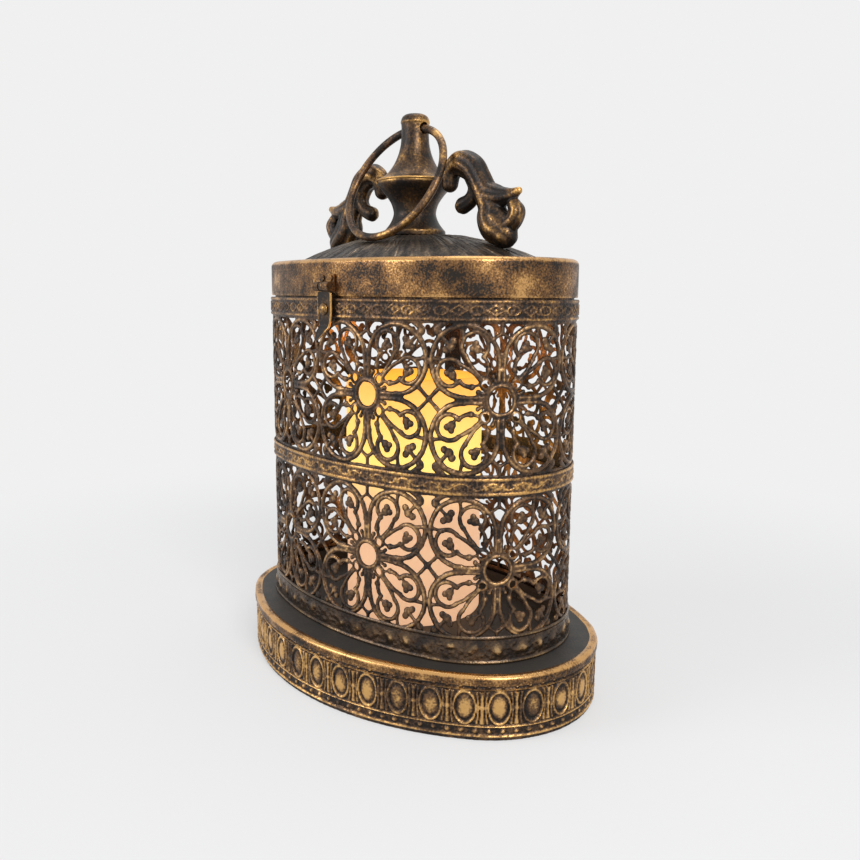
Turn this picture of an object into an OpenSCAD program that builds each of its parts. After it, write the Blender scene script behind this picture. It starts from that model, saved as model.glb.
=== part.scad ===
// Oval openwork metal lantern with a hinged lid, a carrying ring and a battery candle.
// Millimetres. Origin at the middle of the underside, +Z up, +X along the oval, front at -Y.

/* [Base] */
// Half of the base oval's length
base_half_len = 115.3; // [110:0.1:130]
// Half of the base oval's depth
base_half_depth = 78; // [72:0.1:90]
// Radius of the base oval's ends
base_end_r = 59.6; // [54:0.1:66]
// Height of the base
base_h = 32.4; // [26:0.1:44]
// Sheet thickness of the base skirt
base_wall = 1.2; // [0.8:0.1:2]
// Thickness of the base's top plate
base_plate_t = 1.5; // [1:0.1:2.5]
// Thickness of the base's bottom plate
bottom_plate_t = 1.2; // [0.8:0.1:2]
// Height of the gilded rim round the base's top edge
rim_h = 4.6; // [3.5:0.1:6]
// Number of egg bosses round the base
egg_count = 36; // [24:1:40]
// Width of an egg boss
egg_w = 9.6; // [7:0.1:11]
// Height of an egg boss
egg_h = 15.6; // [11:0.1:17]

/* [Body] */
// Half of the body oval's length
body_half_len = 98.35; // [94:0.05:104]
// Half of the body oval's depth
body_half_depth = 60.3; // [57:0.05:66]
// Radius of the body oval's ends
body_end_r = 51.76; // [48:0.02:55]
// Thickness of the pierced sheet
sheet_t = 1.2; // [0.8:0.1:1.6]
// How far a band stands proud of the pierced sheet
band_t = 0.9; // [0.7:0.05:1.3]
// Height of the band at the foot of the body
bottom_band_h = 14; // [11:0.1:16]
// Height of the band between the two pierced strips
middle_band_h = 8.8; // [7:0.1:11]
// Height of the band at the mouth of the body
top_band_h = 9.9; // [8:0.1:12]
// Height of one pierced strip
strip_h = 72.8; // [70:0.1:80]
// How far the lower strip runs down behind the bottom band
strip_tuck = 3.5; // [2:0.1:6]
// Number of rosettes round the body
rosette_count = 7; // [5:1:7]
// Width of the plain strip over the seam at the back
seam_w = 11.7244; // [8:0.0001:20]
// Where the first rosette sits, along the wall from the front centre
rosette_start = 26.2; // [15:0.1:35]

/* [Lid] */
// Gap between the body's mouth and the lid
lid_gap = 0.9; // [0.5:0.1:1.5]
// How much smaller the lid is than the body all round
lid_inset = 0.8; // [0.4:0.1:1.5]
// Height of the lid's rim
lid_h = 18.8; // [15:0.1:24]
// Sheet thickness of the lid
lid_t = 1.2; // [0.8:0.1:1.6]
// Radius of the lid's rounded shoulder
shoulder_r = 3; // [2:0.1:4]
// Rise of the dome above the lid's ledge
dome_rise = 15.2; // [12:0.1:19]
// Share of the lid that the dome covers
dome_share = 0.82; // [0.76:0.01:0.86]
// Number of flat steps round the dome
dome_steps = 48; // [32:4:64]

/* [Finial] */
// Height of the finial's spool
spool_h = 28.4; // [24:0.1:34]
// Radius of the finial's flange
flange_r = 20.8; // [18:0.1:23]
// Radius of the spool's foot
foot_r = 16.6; // [14:0.1:17]
// Radius of the spool's waist
waist_r = 11.6; // [9:0.1:13]
// Height of the bell above the spool
bell_h = 35.2; // [32:0.1:42]
// Radius of the bell's neck
neck_r = 7.5; // [6.5:0.1:8.5]
// Depth of the ring's hole below the bell's top
hole_drop = 7.9; // [7:0.1:10]
// Radius of the threaded rod
rod_r = 2.4; // [1.8:0.1:3]

/* [Ring] */
// Radius of the ring's centre line
ring_r = 32.6; // [31:0.1:36]
// Diameter of the ring's wire
ring_wire = 4.2; // [3.4:0.1:4.6]
// Gap between the resting ring and the dome
ring_rest_gap = 0.35; // [0.3:0.05:0.8]

/* [Hinge and latch] */
// Width of the hinge
hinge_w = 26; // [20:0.5:34]
// Length of a hinge leaf
leaf_h = 11; // [9:0.1:13]
// Thickness of the leaves, the bracket and the hasp
leaf_t = 1; // [0.8:0.05:1.2]
// Radius of the hinge pin
pin_r = 1.2; // [0.9:0.05:1.5]
// Running clearance of a pin in its knuckle
pin_fit = 0.05; // [0.03:0.01:0.1]
// Width of the hasp
hasp_w = 11.4; // [9:0.1:13]
// Length of the hasp below its pin
hasp_len = 27.4; // [22:0.1:32]
// Height of the hasp pin above the lid's lower edge
hasp_pin_rise = 4.8; // [4.2:0.1:7]

/* [Candle] */
// Radius of the candle
candle_r = 38; // [34:0.1:40]
// Height of the candle
candle_h = 133; // [110:0.5:150]
// Thickness of the wax wall
wax_t = 4; // [3:0.1:6]
// Depth of the hollow in the candle's top
wick_bowl = 9; // [5:0.1:14]
// Height of the battery housing
housing_h = 58; // [54:0.5:66]
// Diameter of a battery cell
cell_d = 10.5; // [10:0.1:11]
// Length of a battery cell
cell_len = 44.5; // [43:0.1:46]
// Travel of the slide switch
switch_travel = 4; // [2:0.1:6]

/* [Hidden] */
$fn = 64;

bronze = "#5a4630";
gilt = "#a07a3c";
dark_bronze = "#3a322a";

fit_gap = 0.1;
seat_gap = 0.2;
cut_over = 1;

// Heights of the stacked bands and strips
plate_z = base_h - base_plate_t;
bottom_band_top = base_h + bottom_band_h;
lower_mid = bottom_band_top - strip_tuck + strip_h / 2;
middle_z = bottom_band_top - strip_tuck + strip_h;
upper_mid = middle_z + middle_band_h + strip_h / 2;
top_band_z = middle_z + middle_band_h + strip_h;
mouth_z = top_band_z + top_band_h;
sheet_joint = middle_z + middle_band_h / 2;
body_girth = oval_length(body_half_len, body_half_depth, body_end_r);
rosette_pitch = (body_girth - seam_w) / rosette_count;
sheet_out = -band_t - fit_gap;
sheet_in = sheet_out - sheet_t;
mouth_lip = 0.8;
wall_steps = 72;

// The lid's oval and heights
lid_half_len = body_half_len - lid_inset;
lid_half_depth = body_half_depth - lid_inset;
lid_end_r = body_end_r - lid_inset;
lid_z = mouth_z + lid_gap;
lid_top_z = lid_z + lid_h;
ledge_w = 4;
top_edge = -shoulder_r - fit_gap;
top_half_len = lid_half_len + top_edge;
top_half_depth = lid_half_depth + top_edge;
seat_share = 0.29;
seat_z = dome_z(seat_share);

// The finial, its hole and the ring's place
bell_z = seat_z + spool_h;
finial_top = bell_z + bell_h;
hole_z = finial_top - hole_drop;
ring_lift = ring_r - sqrt(ring_r * ring_r - neck_r * neck_r);
ring_centre_drop = ring_r - ring_lift / 2;
hole_r = ring_wire / 2 + ring_lift / 2 + 0.5;
ring_lean = find_lean(20, 45, 30);

// Hinge and latch axes
hinge_y = body_half_depth + 2.8;
hinge_z = mouth_z + lid_gap / 2;
knuckle_r = 2.4;
hasp_pin_r = 1;
hasp_knuckle_r = 2.3;
hasp_y = -body_half_depth - 2.6;
hasp_z = lid_z + hasp_pin_rise;
hasp_face = 1.1;
knob_drop = 11.2;
rivet_r = 1.1;
rivet_head_r = 1.7;
rivet_head_h = 0.7;

// Candle
candle_z = base_h;
bowl_wall = 6.4;
housing_r = candle_r - wax_t - seat_gap;
cell_ring_r = 13;
cell_z = candle_z + 5;
door_r = 24;
door_t = 2;
switch_x = 27.2;
switch_l = 5;
switch_w = 3;
switch_h = 3;
switch_recess = 0.6;
switch_slot = 4;
led_r = 2.5;
led_flange_r = 2.9;
led_body_h = 6;
board_r = 16;
board_t = 1.6;
terminal_r = 1.9;
terminal_h = 1;

function side_r(a, b, r) = (a * a - 2 * a * r + b * b) / (2 * (b - r));
function join_angle(a, b, r) = atan2(side_r(a, b, r) - b, a - r);
function side_arc(a, b, r) = side_r(a, b, r) * (90 - join_angle(a, b, r)) * PI / 180;
function end_arc(a, b, r) = r * join_angle(a, b, r) * PI / 180;
function oval_length(a, b, r) = 4 * (side_arc(a, b, r) + end_arc(a, b, r));

// Point and outward angle on an oval, a distance s round it from the front centre towards +X
function quarter_point(a, b, r, s) =
    let (ls = side_arc(a, b, r), big = side_r(a, b, r))
    s <= ls
        ? let (t = -90 + s / big * 180 / PI) [big * cos(t), big - b + big * sin(t), t]
        : let (t = -join_angle(a, b, r) + (s - ls) / r * 180 / PI)
            [a - r + r * cos(t), r * sin(t), t];
function oval_point(a, b, r, s) =
    let (whole = oval_length(a, b, r), u = ((s % whole) + whole) % whole, q = whole / 4)
    u <= q ? quarter_point(a, b, r, u)
    : u <= 2 * q ? let (p = quarter_point(a, b, r, 2 * q - u)) [p[0], -p[1], -p[2]]
    : u <= 3 * q ? let (p = quarter_point(a, b, r, u - 2 * q)) [-p[0], -p[1], p[2] + 180]
    : let (p = quarter_point(a, b, r, whole - u)) [-p[0], p[1], 180 - p[2]];
function oval_points(a, b, r, count) =
    let (whole = oval_length(a, b, r))
    [for (i = [0:count - 1]) let (p = oval_point(a, b, r, whole * i / count)) [p[0], p[1]]];

// Height of the lid's top skin at a share of the lid's oval
function dome_z(share) =
    share >= dome_share ? lid_top_z
    : lid_top_z + dome_rise * (1 - pow(max(share, seat_share) / dome_share, 2));

// Clearance of the ring's lowest point above the dome when it leans by an angle
function lean_gap(angle) =
    let (d = ring_centre_drop + ring_r,
         y = d * sin(angle),
         z = hole_z - d * cos(angle),
         share = y / top_half_depth,
         slope = 2 * dome_rise * share / (dome_share * dome_share * top_half_depth))
    (z - dome_z(share)) / sqrt(1 + slope * slope) - ring_wire / 2;
function find_lean(low, high, steps) =
    let (mid = (low + high) / 2)
    steps == 0 ? mid
    : lean_gap(mid) < ring_rest_gap ? find_lean(mid, high, steps - 1)
    : find_lean(low, mid, steps - 1);

// Flat sides of a whole circle that stay this near to its arc
arc_sag = 0.04;
function arc_sides(r) = ceil(180 / acos(1 - arc_sag / r));

// Carries a 2D profile, drawn as offset and height, round an oval
module oval_sweep(a, b, r) {
    big = side_r(a, b, r);
    turn = join_angle(a, b, r);
    for (half = [0, 180]) rotate(half) {
        translate([a - r, 0, 0]) rotate(-turn)
            rotate_extrude(angle = 2 * turn, $fn = arc_sides(r)) translate([r, 0]) children();
        translate([0, big - b, 0]) rotate(turn - 180)
            rotate_extrude(angle = 180 - 2 * turn, $fn = arc_sides(big)) translate([big, 0]) children();
    }
}

// A flat oval plate: a curved border round a straight-sided middle
module oval_plate(a, b, r, h) {
    border = 12;
    oval_sweep(a, b, r) translate([-border, 0]) square([border, h]);
    linear_extrude(h) polygon(oval_points(a - border / 2, b - border / 2, r - border / 2, 40));
}

module body_sweep() { oval_sweep(body_half_len, body_half_depth, body_end_r) children(); }

// A solid drawn round an oval in flat steps from a closed list of offsets and heights
module oval_loft(a, b, r, outline, steps) {
    girth = oval_length(a, b, r);
    n = len(outline);
    corners = [for (i = [0:steps - 1]) let (p = oval_point(a, b, r, girth * i / steps))
        for (q = outline) [p[0] + q[0] * cos(p[2]), p[1] + q[0] * sin(p[2]), q[1]]];
    polyhedron(corners, [for (i = [0:steps - 1], k = [0:n - 1])
        let (j = (i + 1) % steps, m = (k + 1) % n)
            each [[i * n + k, i * n + m, j * n + m], [i * n + k, j * n + m, j * n + k]]]);
}

function base_outline(off) =
    oval_points(base_half_len + off, base_half_depth + off, base_end_r + off, wall_steps);
function body_outline(off) =
    oval_points(body_half_len + off, body_half_depth + off, body_end_r + off, wall_steps);

// The straight-sided wall of the pierced sheet
module sheet_wall(h) linear_extrude(h) difference() {
    polygon(body_outline(sheet_out));
    polygon(body_outline(sheet_in));
}

// Sets a piece on an oval wall: X along the wall, Y up, Z outwards
module on_oval(a, b, r, s, z) {
    p = oval_point(a, b, r, s);
    translate([p[0], p[1], z]) rotate([90, 0, p[2] + 90]) children();
}
module on_body(s, z) { on_oval(body_half_len, body_half_depth, body_end_r, s, z) children(); }
module at_front(y, z) { translate([0, y, z]) rotate([90, 0, 0]) children(); }
module along_x(x0, x1, r) { translate([x0, 0, 0]) rotate([0, 90, 0]) cylinder(h = x1 - x0, r = r); }

// Base

skirt_out = -1.2;
ridge_proud = 0.7;
ridge_h = 1.6;
lip_w = 4;
skirt_ridges = [1.6, 6.2, base_h - rim_h - 2.6];

// A straight-sided ring round the base between two offsets
module base_ring(out, in, z, h) translate([0, 0, z]) linear_extrude(h) difference() {
    polygon(base_outline(out));
    polygon(base_outline(in));
}

module base_skirt() color(bronze) {
    base_ring(skirt_out, skirt_out - base_wall, 0, plate_z);
    base_ring(skirt_out - base_wall / 2, skirt_out - base_wall - lip_w, bottom_plate_t + cut_over,
        base_wall);
    for (z = skirt_ridges) base_ring(skirt_out + ridge_proud, skirt_out - base_wall / 2, z, ridge_h);
    girth = oval_length(base_half_len, base_half_depth, base_end_r);
    egg_z = (skirt_ridges[1] + ridge_h + skirt_ridges[2]) / 2;
    for (i = [0:egg_count - 1])
        on_oval(base_half_len, base_half_depth, base_end_r, girth * (i + 0.5) / egg_count, egg_z)
            translate([0, 0, skirt_out - base_wall / 2]) linear_extrude(base_wall / 2 + ridge_proud)
                polygon([for (t = [0:20:340]) [egg_w / 2 * cos(t), egg_h / 2 * sin(t)]]);
}

module base_rim() color(gilt) {
    round_r = -skirt_out - fit_gap - seat_gap;
    oval_loft(base_half_len, base_half_depth, base_end_r, concat(
        [[-round_r, base_h - rim_h], [0, base_h - rim_h]],
        [for (t = [0:30:90]) [-round_r + round_r * cos(t), base_h - round_r + round_r * sin(t)]]),
        wall_steps);
}

screw_r = 1.5;
screw_head_r = 2.8;
screw_head_h = 1.2;
foot_screw_count = 6;
foot_ring_t = 1;
foot_ring_w = 6;
foot_ring_h = 8;
foot_ring_out = sheet_in - seat_gap;
foot_screw_off = foot_ring_out - foot_ring_t - foot_ring_w / 2;

module at_foot_screws() {
    for (i = [0:foot_screw_count - 1]) {
        s = body_girth * (i + 0.5) / foot_screw_count;
        p = oval_point(body_half_len, body_half_depth, body_end_r, s);
        translate([p[0] + foot_screw_off * cos(p[2]), p[1] + foot_screw_off * sin(p[2]), 0]) children();
    }
}

module base_top_plate() color(dark_bronze) difference() {
    edge = skirt_out - seat_gap / 2;
    translate([0, 0, plate_z])
        oval_plate(base_half_len + edge, base_half_depth + edge, base_end_r + edge, base_plate_t);
    at_foot_screws() translate([0, 0, plate_z - cut_over])
        cylinder(h = base_plate_t + 2 * cut_over, r = screw_r + pin_fit);
}

module base_bottom_plate() color(dark_bronze) {
    edge = skirt_out - base_wall - seat_gap;
    translate([0, 0, cut_over])
        oval_plate(base_half_len + edge, base_half_depth + edge, base_end_r + edge, bottom_plate_t);
}

module foot_ring() color(dark_bronze) difference() {
    body_sweep() translate([foot_ring_out, base_h]) {
        translate([-foot_ring_t, 0]) square([foot_ring_t, foot_ring_h]);
        translate([-foot_ring_t - foot_ring_w, 0]) square([foot_ring_w + foot_ring_t / 2, foot_ring_t]);
    }
    at_foot_screws() translate([0, 0, base_h - cut_over])
        cylinder(h = foot_ring_t + 2 * cut_over, r = screw_r + pin_fit);
}

module foot_screws() color("#8a8a86") at_foot_screws() {
    translate([0, 0, plate_z - 2]) cylinder(h = base_plate_t + 2 + foot_ring_t + 0.2, r = screw_r);
    translate([0, 0, base_h + foot_ring_t]) cylinder(h = screw_head_h, r = screw_head_r);
}

// Body bands

edge_ridge = 1.6;
band_recess = 0.45;

module band_profile(h) difference() {
    translate([-band_t, 0]) square([band_t, h]);
    translate([-band_recess, edge_ridge]) square([band_recess + cut_over, h - 2 * edge_ridge]);
}

module bottom_band() color(bronze) body_sweep() translate([0, base_h]) band_profile(bottom_band_h);

module middle_band() color(bronze) body_sweep() translate([0, middle_z]) band_profile(middle_band_h);

module top_band() color(bronze) difference() {
    body_sweep() translate([0, top_band_z]) {
        band_profile(top_band_h);
        translate([sheet_in, top_band_h - mouth_lip]) square([-sheet_in - band_t / 2, mouth_lip]);
    }
    at_hinge_rivets(-1) rivet_bore();
    at_keeper() rivet_bore();
}

// Pierced strips, drawn on a square tile with the rosette in its middle

tile = strip_h - 0.8;
stretch = rosette_pitch / tile;
petal_c = 0.25 * tile;
petal_in = 0.212 * tile;
petal_out = 0.254 * tile;
eye_r = 0.082 * tile;
loop_end = [0.35 * tile, 0.185 * tile];
loop_root = [0.12 * tile, 0.095 * tile];
loop_r = 0.1 * tile;
loop_rib = 0.032 * tile;
stem_w = 0.034 * tile;
cross_w = 0.034 * tile;
corner_reach = 0.165 * tile;
drop_root = tile / 48;
edge_web = tile / 72;

// A drop: a round end drawn out to a narrow root
module drop_2d(grow) {
    way = loop_end - loop_root;
    side = [-way[1], way[0]] / norm(way);
    translate(loop_end) circle(r = loop_r + grow);
    polygon([
        loop_root + side * (drop_root + grow / 2), loop_end + side * (loop_r * 0.97 + grow),
        loop_end - side * (loop_r * 0.97 + grow), loop_root - side * (drop_root + grow / 2)]);
}

module both_drops(grow) {
    drop_2d(grow);
    mirror([1, -1]) drop_2d(grow);
}

// Openings of one petal, in the quarter of the tile with x and y above zero
module petal_2d() {
    difference() {
        union() {
            translate([petal_c, petal_c]) circle(r = petal_in);
            polygon([[0.105 * tile, 0.105 * tile], [0.07 * tile, 0.16 * tile], [0.06 * tile, 0.3 * tile],
                [0.3 * tile, 0.06 * tile], [0.16 * tile, 0.07 * tile]]);
        }
        both_drops(0);
        stem_2d();
        for (m = [0, 1]) mirror([m, -m])
            translate([0.4 * tile, 0.235 * tile]) rotate(12) square([0.09 * tile, stem_w]);
    }
    difference() {
        both_drops(-loop_rib);
        stem_2d();
    }
}

module stem_2d() {
    rotate(45) translate([0.1 * tile, -stem_w / 2]) square([0.42 * tile, stem_w]);
    translate([0.36 * tile, 0.36 * tile]) circle(r = 0.042 * tile);
}

// Star-shaped gap between four petals, crossed by slanting bars or a single stem
module gap_2d(crossed) difference() {
    rotate(45) square(corner_reach * sqrt(2), center = true);
    for (x = [-1, 1], y = [-1, 1]) translate([x * petal_c, y * petal_c]) circle(r = petal_out);
    if (crossed) for (t = [45, 135]) rotate(t) square([tile, cross_w], center = true);
    else square([cross_w, tile], center = true);
}

pierce_in = 5;
pierce_depth = 7;
plate_gap = 0.16;

module pierce(s, z) on_body(s, z) translate([0, 0, -pierce_in]) linear_extrude(pierce_depth)
    scale([stretch, 1]) children();

module half_gap(side) intersection() {
    gap_2d(false);
    translate([-tile / 2, side > 0 ? -tile : edge_web]) square([tile, tile - edge_web]);
}

module rosette_openings(s, z) {
    pierce(s, z) circle(r = eye_r);
    for (x = [-1, 1], y = [-1, 1])
        pierce(s + x * petal_c * stretch, z + y * petal_c)
            scale([x, y]) translate([-petal_c, -petal_c]) petal_2d();
    pierce(s + rosette_pitch / 2, z) gap_2d(true);
    for (y = [-1, 1]) {
        pierce(s, z + y * strip_h / 2) half_gap(y);
        pierce(s + rosette_pitch / 2, z + y * strip_h / 2) half_gap(y);
    }
}

function rosette_s(i) = rosette_start + (i - floor(rosette_count / 2)) * rosette_pitch;

// A strip of rosette plates, set edge to edge between two bands
module pierced_strip(z_mid, z_low, z_high, window_low, window_high) difference() {
    translate([0, 0, z_low]) sheet_wall(z_high - z_low);
    intersection() {
        union() for (i = [0:rosette_count - 1]) rosette_openings(rosette_s(i), z_mid);
        translate([-body_half_len, -body_half_len, window_low])
            cube([2 * body_half_len, 2 * body_half_len, window_high - window_low]);
    }
    for (i = [0:rosette_count]) on_body(rosette_s(i) - rosette_pitch / 2, z_low)
        translate([-plate_gap / 2, -cut_over, -pierce_in])
            cube([plate_gap, z_high - z_low + 2 * cut_over, pierce_depth]);
    at_hinge_rivets(-1) rivet_bore();
    at_keeper() rivet_bore();
}

module lower_panel() color(bronze)
    pierced_strip(lower_mid, base_h, sheet_joint - fit_gap, bottom_band_top + fit_gap, middle_z);

module upper_panel() color(bronze)
    pierced_strip(upper_mid, sheet_joint, mouth_z - mouth_lip, middle_z + middle_band_h, top_band_z);

// Plain strips over the seam at the back
module seam_strips() color(bronze) {
    seam_s = rosette_s(rosette_count - 0.5) + seam_w / 2;
    for (span = [[bottom_band_top, middle_z], [middle_z + middle_band_h, top_band_z]])
        on_body(seam_s, span[0]) translate([-seam_w / 2, fit_gap, sheet_out + fit_gap])
            cube([seam_w, span[1] - span[0] - 2 * fit_gap, band_t]);
}

// Hinge at the back

leaf_rivets = [-0.36 * hinge_w, 0.36 * hinge_w];
rivet_len = 6;
wall_sag = 0.7;

module rivet_bore() translate([0, 0, -rivet_len]) cylinder(h = 2 * rivet_len, r = rivet_r + pin_fit / 2);

// Rivet places, on the body's leaf below the pin (-1) or on the lid's leaf above it (1)
module at_hinge_rivets(side) {
    wall_y = side > 0 ? lid_half_depth : body_half_depth;
    for (x = leaf_rivets)
        translate([x, wall_y, hinge_z + side * leaf_h * 0.58]) rotate([-90, 0, 0]) children();
}

module leaf(side, knuckles) {
    wall_y = side > 0 ? lid_half_depth : body_half_depth;
    low = side > 0 ? lid_z + 0.4 : hinge_z - leaf_h;
    high = side > 0 ? hinge_z + leaf_h : mouth_z - 0.3;
    difference() {
        union() {
            translate([-hinge_w / 2, wall_y + fit_gap, low]) cube([hinge_w, leaf_t, high - low]);
            for (k = knuckles) {
                translate([0, hinge_y, hinge_z]) along_x(k[0], k[1], knuckle_r);
                translate([k[0], wall_y + fit_gap, side > 0 ? low : hinge_z - knuckle_r])
                    cube([k[1] - k[0], hinge_y - wall_y - fit_gap, side > 0 ? hinge_z + knuckle_r - low
                        : high - hinge_z + knuckle_r]);
            }
        }
        translate([0, hinge_y, hinge_z]) along_x(-hinge_w, hinge_w, pin_r + pin_fit);
        if (side < 0) translate([0, hinge_y, hinge_z])
            along_x(-knuckle_split - knuckle_gap, knuckle_split + knuckle_gap, knuckle_r + 2 * seat_gap);
        at_hinge_rivets(side) rivet_bore();
    }
}

knuckle_split = hinge_w / 6;
knuckle_gap = 0.25;

module hinge_body_leaf() color(dark_bronze)
    leaf(-1, [[-hinge_w / 2, -knuckle_split - knuckle_gap], [knuckle_split + knuckle_gap, hinge_w / 2]]);

module hinge_lid_leaf() color(dark_bronze) leaf(1, [[-knuckle_split, knuckle_split]]);

module hinge_pin() color(gilt) translate([0, hinge_y, hinge_z]) {
    head = 0.7;
    along_x(-hinge_w / 2 - fit_gap - head / 2, hinge_w / 2 + fit_gap + head / 2, pin_r);
    along_x(-hinge_w / 2 - fit_gap - head, -hinge_w / 2 - fit_gap, pin_r + 0.6);
    along_x(hinge_w / 2 + fit_gap, hinge_w / 2 + fit_gap + head, pin_r + 0.6);
}

// A rivet along Z: its head lies on a face at z = 0 and its tail closes behind the wall
module rivet(grip) {
    translate([0, 0, -grip - rivet_head_h / 2]) cylinder(h = grip + rivet_head_h, r = rivet_r);
    cylinder(h = rivet_head_h, r = rivet_head_r);
    translate([0, 0, -grip - rivet_head_h]) cylinder(h = rivet_head_h, r = rivet_head_r * 0.85);
}

module hinge_body_rivets() color(gilt)
    at_hinge_rivets(-1) translate([0, 0, fit_gap + leaf_t]) rivet(fit_gap + leaf_t - sheet_in + wall_sag);

module hinge_lid_rivets() color(gilt)
    at_hinge_rivets(1) translate([0, 0, fit_gap + leaf_t]) rivet(fit_gap + leaf_t + lid_t + wall_sag);

// Latch at the front

keeper_r = 2.6;
keeper_proud = 0.6;

module at_keeper() at_front(-body_half_depth, hasp_z - knob_drop) children();

module latch_keeper() color(gilt) at_keeper() {
    back = sheet_in - fit_gap;
    translate([0, 0, back - rivet_head_h / 2]) cylinder(h = keeper_proud - back, r = rivet_r);
    translate([0, 0, -band_recess + fit_gap / 2]) cylinder(h = keeper_proud + band_recess, r = keeper_r);
    translate([0, 0, back - rivet_head_h]) cylinder(h = rivet_head_h, r = rivet_head_r);
}

// The rivets' heads stand just clear of the lugs and just inside the plate's upper edge
latch_rivet_rise = hasp_knuckle_r + rivet_head_r + seat_gap;
bracket_h = latch_rivet_rise + rivet_head_r + seat_gap;
bracket_split = hasp_w * 0.18;

module at_latch_rivets() for (x = [-1, 1])
    at_front(-lid_half_depth, hasp_z + latch_rivet_rise) translate([x * hasp_w * 0.28, 0, 0]) children();

module latch_bracket() color(dark_bronze) difference() {
    union() {
        translate([-hasp_w / 2, -lid_half_depth - fit_gap - leaf_t, hasp_z - hasp_knuckle_r])
            cube([hasp_w, leaf_t, bracket_h + hasp_knuckle_r]);
        for (x = [-hasp_w / 2, bracket_split]) {
            lug = hasp_w / 2 - bracket_split;
            translate([0, hasp_y, hasp_z]) along_x(x, x + lug, hasp_knuckle_r);
            translate([x, hasp_y, hasp_z - hasp_knuckle_r])
                cube([lug, -lid_half_depth - fit_gap - hasp_y, 2 * hasp_knuckle_r]);
        }
    }
    translate([0, hasp_y, hasp_z]) along_x(-hasp_w, hasp_w, hasp_pin_r + pin_fit / 2);
    translate([-bracket_split, hasp_y - hasp_w, hasp_z - hasp_w / 2])
        cube([2 * bracket_split, hasp_w - lid_half_depth - hasp_y - fit_gap - leaf_t - seat_gap, hasp_w]);
    at_latch_rivets() rivet_bore();
}

module latch_pin() color(gilt) translate([0, hasp_y, hasp_z])
    along_x(-hasp_w / 2 - 0.4, hasp_w / 2 + 0.4, hasp_pin_r);

module latch_rivets() color(gilt)
    at_latch_rivets() translate([0, 0, fit_gap + leaf_t]) rivet(fit_gap + leaf_t + lid_t + fit_gap);

tail_bend = 34;
tail_start = 0.68;

// Hasp seen from the front: its pin at the top, a pointed tail flicked outwards below
module hasp() color(dark_bronze) {
    face_y = -body_half_depth - hasp_face;
    shoulder = hasp_knuckle_r + 0.4;
    flat = hasp_len * tail_start;
    tail = (hasp_len - flat) / cos(tail_bend);
    half_w = hasp_w / 2;
    difference() {
        union() {
            at_front(face_y, hasp_z) linear_extrude(leaf_t)
                polygon([[-half_w, -shoulder], [half_w, -shoulder], [half_w, -0.55 * hasp_len],
                    [0.76 * half_w, -flat], [-0.76 * half_w, -flat], [-half_w, -0.55 * hasp_len]]);
            at_front(face_y, hasp_z - flat) rotate([-tail_bend, 0, 0]) linear_extrude(leaf_t)
                polygon([[-0.76 * half_w, 0.3], [0.76 * half_w, 0.3], [0.48 * half_w, -0.7 * tail],
                    [0, -tail], [-0.48 * half_w, -0.7 * tail]]);
            neck = bracket_split - knuckle_gap;
            translate([0, hasp_y, hasp_z]) along_x(-neck, neck, hasp_knuckle_r - 0.2);
            translate([-neck, face_y - leaf_t, hasp_z - shoulder - 0.5])
                cube([2 * neck, leaf_t, shoulder + 0.5]);
        }
        translate([0, hasp_y, hasp_z]) along_x(-hasp_w, hasp_w, hasp_pin_r + pin_fit);
        at_front(-body_half_depth, hasp_z - knob_drop) rivet_bore();
    }
}

module hasp_knob() color(gilt) at_front(-body_half_depth - hasp_face - leaf_t, hasp_z - knob_drop) {
    knob_r = 2.9;
    translate([0, 0, -leaf_t + fit_gap]) cylinder(h = leaf_t + 0.5, r = rivet_r);
    rotate_extrude() polygon(concat([[0, 0], [knob_r, 0]],
        [for (t = [0:15:90]) [knob_r * cos(t), 0.5 + 1.5 * sin(t)]]));
}

// Battery candle

module candle_wax() color("#f2d9b0") difference() {
    translate([0, 0, candle_z]) cylinder(h = candle_h, r = candle_r);
    translate([0, 0, candle_z - cut_over])
        cylinder(h = candle_h - wick_bowl - wax_t + cut_over, r = candle_r - wax_t);
    translate([0, 0, candle_z + candle_h - wick_bowl])
        cylinder(h = wick_bowl + cut_over, r = candle_r - bowl_wall);
}

module at_cells() for (t = [0:120:240]) rotate(t + 60) translate([cell_ring_r, 0, cell_z]) children();

module candle_housing() color("#e8e4da") difference() {
    translate([0, 0, candle_z]) cylinder(h = housing_h, r = housing_r);
    at_cells() cylinder(h = cell_len + 2 * seat_gap, r = cell_d / 2 + seat_gap);
    translate([0, 0, candle_z - cut_over])
        cylinder(h = cell_z - candle_z + 1.2 * cut_over, r = door_r + seat_gap);
    translate([switch_x - switch_w / 2 - seat_gap, -switch_w / 2 - seat_gap, candle_z - cut_over])
        cube([switch_w + 2 * seat_gap, switch_l + switch_travel, switch_slot + cut_over]);
}

module battery_cells() color("#7d8a94") at_cells() {
    translate([0, 0, seat_gap]) cylinder(h = cell_len - terminal_h, r = cell_d / 2);
    translate([0, 0, cell_len - terminal_h]) cylinder(h = terminal_h, r = terminal_r);
}

module battery_door() color("#dcd8cc") translate([0, 0, cell_z - door_t]) cylinder(h = door_t, r = door_r);

module led_board() color("#2f6b45")
    translate([0, 0, candle_z + housing_h]) cylinder(h = board_t, r = board_r);

module led() color("#fff2c0") translate([0, 0, candle_z + housing_h + board_t]) rotate_extrude()
    polygon(concat([[0, 0], [led_flange_r, 0], [led_flange_r, 1], [led_r, 1]],
        [for (t = [0:15:90]) [led_r * cos(t), led_body_h + led_r * sin(t)]]));

module candle_switch() color("#2a2a2a")
    translate([switch_x - switch_w / 2, -switch_w / 2, candle_z + switch_recess])
        cube([switch_w, switch_l - 1, switch_h]);

// Lid: its collar drops inside the body's mouth

collar_h = 4;
collar_out = sheet_in + lid_inset - 3 * seat_gap;
collar_in = collar_out - 0.8;

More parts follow.
